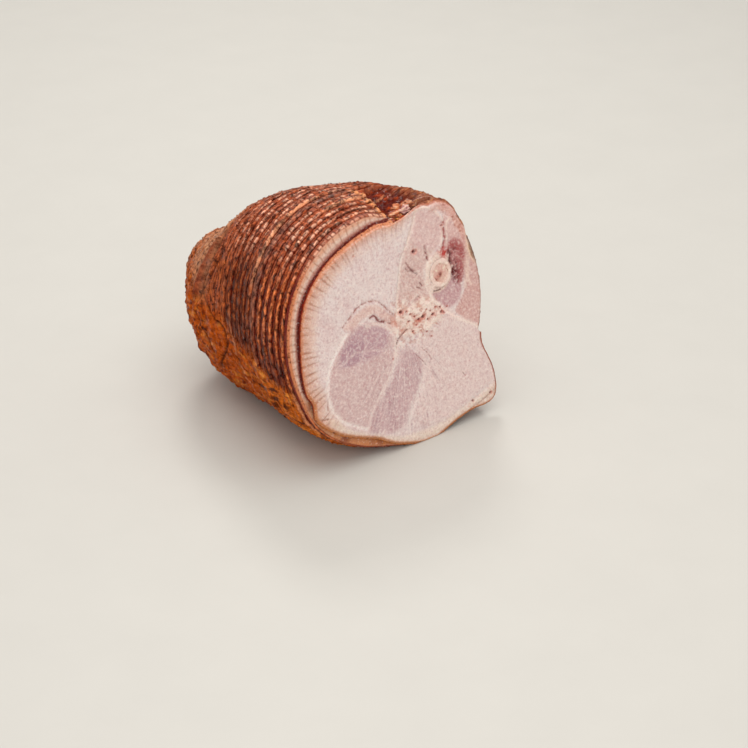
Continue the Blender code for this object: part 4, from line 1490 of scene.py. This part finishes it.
def floor_finish(colour):
    """A plain pale table top."""
    finish = Finish("pale table")
    noise = finish.noise(60.0, 4.0)
    tint = finish.mix(opaque(colour), opaque([part * 0.94 for part in colour]), noise)
    finish.set(Base_Color=tint, Roughness=0.6)
    return finish.material


# ------------------------------------------------------------ Stage

# Lamps: name, place, width and colour.
LAMPS = (
    ("key", (0.02, -0.15, 1.6), 2.0, (1.0, 0.98, 0.95)),
    ("fill", (-0.9, -1.4, 0.9), 1.4, (1.0, 0.98, 0.96)),
    ("glint", (0.75, 1.1, 1.4), 0.5, (1.0, 0.97, 0.93)),
)
LAMP_TARGET = (0, 0, 0.08)
ROOM_COLOUR = (1.0, 0.985, 0.965)


def make_floor(stage):
    mesh = bpy.data.meshes.new("floor")
    reach = stage.floor_reach
    corners = [(-reach, -reach, 0), (reach, -reach, 0), (reach, reach, 0), (-reach, reach, 0)]
    mesh.from_pydata(corners, [], [(0, 1, 2, 3)])
    mesh.materials.append(floor_finish(stage.floor_colour))
    floor = bpy.data.objects.new("floor", mesh)
    bpy.context.scene.collection.objects.link(floor)


def make_lamp(name, place, width, colour, power):
    lamp = bpy.data.lights.new(name, "AREA")
    lamp.shape = "DISK"
    lamp.size = width
    lamp.energy = power
    lamp.color = colour
    obj = bpy.data.objects.new(name, lamp)
    obj.location = place
    obj.rotation_euler = (Vector(LAMP_TARGET) - Vector(place)).to_track_quat("-Z", "Y").to_euler()
    bpy.context.scene.collection.objects.link(obj)


def make_world(stage):
    world = bpy.data.worlds.new("studio")
    world.use_nodes = True
    background = world.node_tree.nodes["Background"]
    background.inputs["Color"].default_value = opaque(ROOM_COLOUR)
    background.inputs["Strength"].default_value = stage.room_light
    bpy.context.scene.world = world
    bpy.context.scene.view_settings.view_transform = "Standard"


def make_camera(stage):
    azimuth, elevation = math.radians(stage.azimuth), math.radians(stage.elevation)
    back = Vector((
        math.sin(azimuth) * math.cos(elevation),
        -math.cos(azimuth) * math.cos(elevation),
        math.sin(elevation),
    ))
    camera = bpy.data.objects.new("camera", bpy.data.cameras.new("camera"))
    camera.data.lens = stage.lens
    camera.location = Vector(stage.target) + back * stage.camera_distance
    camera.rotation_euler = (-back).to_track_quat("-Z", "Y").to_euler()
    bpy.context.scene.collection.objects.link(camera)
    bpy.context.scene.camera = camera


# ------------------------------------------------------------ What a user can set

def tint_property(name, description, red, green, blue):
    return FloatVectorProperty(name=name, description=description, subtype="COLOR", min=0, max=1,
                               default=shade(red, green, blue))


class HAM_PG_ham(PropertyGroup):
    cut_width: FloatProperty(name="Cut width", description="Width of the spiral cut at the rim, in mm",
                             default=1.0, min=0.2, max=3.0)
    rim_crown: FloatProperty(name="Rim crown", description="How far each slice's rim is crowned, in mm",
                             default=0.9, min=0.0, max=2.0)
    rim_edge: FloatProperty(name="Rim edge", description="How far each slice's edges are sunk, in mm",
                            default=0.4, min=0.0, max=2.0)
    meat_colour: tint_property("Meat", "Colour of the palest meat in the butt face", 222, 204, 199)
    fat_colour: tint_property("Fat", "Colour of the fat along the rim of the butt face", 208, 156, 130)
    crust_colour: tint_property("Crust", "Colour of the crust over the slices", 158, 76, 46)
    glaze_colour: tint_property("Glaze", "Colour of the glaze that has run into the cuts", 98, 24, 12)
    rind_colour: tint_property("Rind", "Colour of the rind along the bottom", 184, 80, 10)
    shank_colour: tint_property("Shank", "Colour of the baked skin of the shank", 186, 126, 90)
    bone_colour: tint_property("Bone", "Colour of the sawn bone", 234, 206, 194)
    marrow_colour: tint_property("Marrow", "Colour of the marrow", 222, 184, 170)


class HAM_PG_stage(PropertyGroup):
    floor_colour: tint_property("Floor", "Colour of the table", 200, 197, 190)
    floor_reach: FloatProperty(name="Floor reach", description="Half the width of the table", default=4.0,
                               unit="LENGTH")
    room_light: FloatProperty(name="Room light", description="Strength of the light from all round",
                              default=0.64)
    key_power: FloatProperty(name="Key lamp", description="Power of the large lamp overhead", default=16.5,
                             unit="POWER")
    fill_power: FloatProperty(name="Fill lamp", description="Power of the lamp in front", default=8.0,
                              unit="POWER")
    glint_power: FloatProperty(name="Glint lamp", description="Power of the small lamp behind", default=9.0,
                               unit="POWER")
    azimuth: FloatProperty(name="Azimuth", description="Camera's angle left of the butt face, in degrees",
                           default=-40.0)
    elevation: FloatProperty(name="Elevation", description="Camera's angle above the table, in degrees",
                             default=28.0)
    camera_distance: FloatProperty(name="Distance", description="From the camera to its target",
                                   default=1.73676, unit="LENGTH")
    target: FloatVectorProperty(name="Target", description="Point that the camera looks at", size=3,
                                default=(0.0545, -0.00585, 0.0), subtype="TRANSLATION", unit="LENGTH")
    lens: FloatProperty(name="Lens", description="Focal length, in mm", default=101.94)


# ------------------------------------------------------------ Operators, panel and running

class HAM_OT_front_slice(Operator):
    """Makes the front slice with the butt face"""

    bl_idname = "ham.front_slice"
    bl_label = "Front Slice"

    def execute(self, context):
        make_front_slice(context.scene.ham)
        return {"FINISHED"}


class HAM_OT_second_slice(Operator):
    """Makes the slice behind the front one"""

    bl_idname = "ham.second_slice"
    bl_label = "Second Slice"

    def execute(self, context):
        make_second_slice(context.scene.ham)
        return {"FINISHED"}


class HAM_OT_slices(Operator):
    """Makes the rest of the spiral's slices"""

    bl_idname = "ham.slices"
    bl_label = "Slices"

    def execute(self, context):
        first, last = WEDGE_END + 1, TURNS - 1
        half = (first + last) / 2
        make_slices(context.scene.ham, "ham_front_slices", first, half)
        make_slices(context.scene.ham, "ham_rear_slices", half, last)
        return {"FINISHED"}


class HAM_OT_shank(Operator):
    """Makes the uncut shank end"""

    bl_idname = "ham.shank"
    bl_label = "Shank"

    def execute(self, context):
        make_shank(context.scene.ham)
        return {"FINISHED"}


class HAM_OT_fat_scraps(Operator):
    """Makes the torn scraps of fat at the notch"""

    bl_idname = "ham.fat_scraps"
    bl_label = "Fat Scraps"

    def execute(self, context):
        make_fat_scraps()
        return {"FINISHED"}


class HAM_OT_bone(Operator):
    """Makes the sawn bone and its marrow"""

    bl_idname = "ham.bone"
    bl_label = "Bone and Marrow"

    def execute(self, context):
        make_bone(context.scene.ham)
        make_marrow(context.scene.ham)
        return {"FINISHED"}


class HAM_OT_stage(Operator):
    """Makes the table, the lights and the camera"""

    bl_idname = "ham.stage"
    bl_label = "Stage"

    def execute(self, context):
        stage = context.scene.ham_stage
        make_floor(stage)
        make_world(stage)
        for name, place, width, colour in LAMPS:
            make_lamp(name, place, width, colour, getattr(stage, name + "_power"))
        make_camera(stage)
        return {"FINISHED"}


class HAM_PT_panel(Panel):
    bl_idname = "HAM_PT_panel"
    bl_label = "Spiral Cut Ham"
    bl_space_type = "VIEW_3D"
    bl_region_type = "UI"
    bl_category = "Ham"

    def draw(self, context):
        for operator in OPERATORS:
            self.layout.operator(operator.bl_idname)
        for group in (context.scene.ham, context.scene.ham_stage):
            box = self.layout.box()
            for name in group.bl_rna.properties.keys():
                if name not in ("name", "rna_type"):
                    box.prop(group, name)


OPERATORS = (
    HAM_OT_front_slice,
    HAM_OT_second_slice,
    HAM_OT_slices,
    HAM_OT_shank,
    HAM_OT_fat_scraps,
    HAM_OT_bone,
    HAM_OT_stage,
)
CLASSES = (HAM_PG_ham, HAM_PG_stage, *OPERATORS, HAM_PT_panel)


def register():
    for cls in CLASSES:
        bpy.utils.register_class(cls)
    bpy.types.Scene.ham = PointerProperty(type=HAM_PG_ham)
    bpy.types.Scene.ham_stage = PointerProperty(type=HAM_PG_stage)


def unregister():
    del bpy.types.Scene.ham_stage
    del bpy.types.Scene.ham
    for cls in reversed(CLASSES):
        bpy.utils.unregister_class(cls)


def main():
    register()
    bpy.ops.ham.front_slice()
    bpy.ops.ham.second_slice()
    bpy.ops.ham.slices()
    bpy.ops.ham.shank()
    bpy.ops.ham.fat_scraps()
    bpy.ops.ham.bone()
    bpy.ops.ham.stage()


if __name__ == "__main__":
    main()
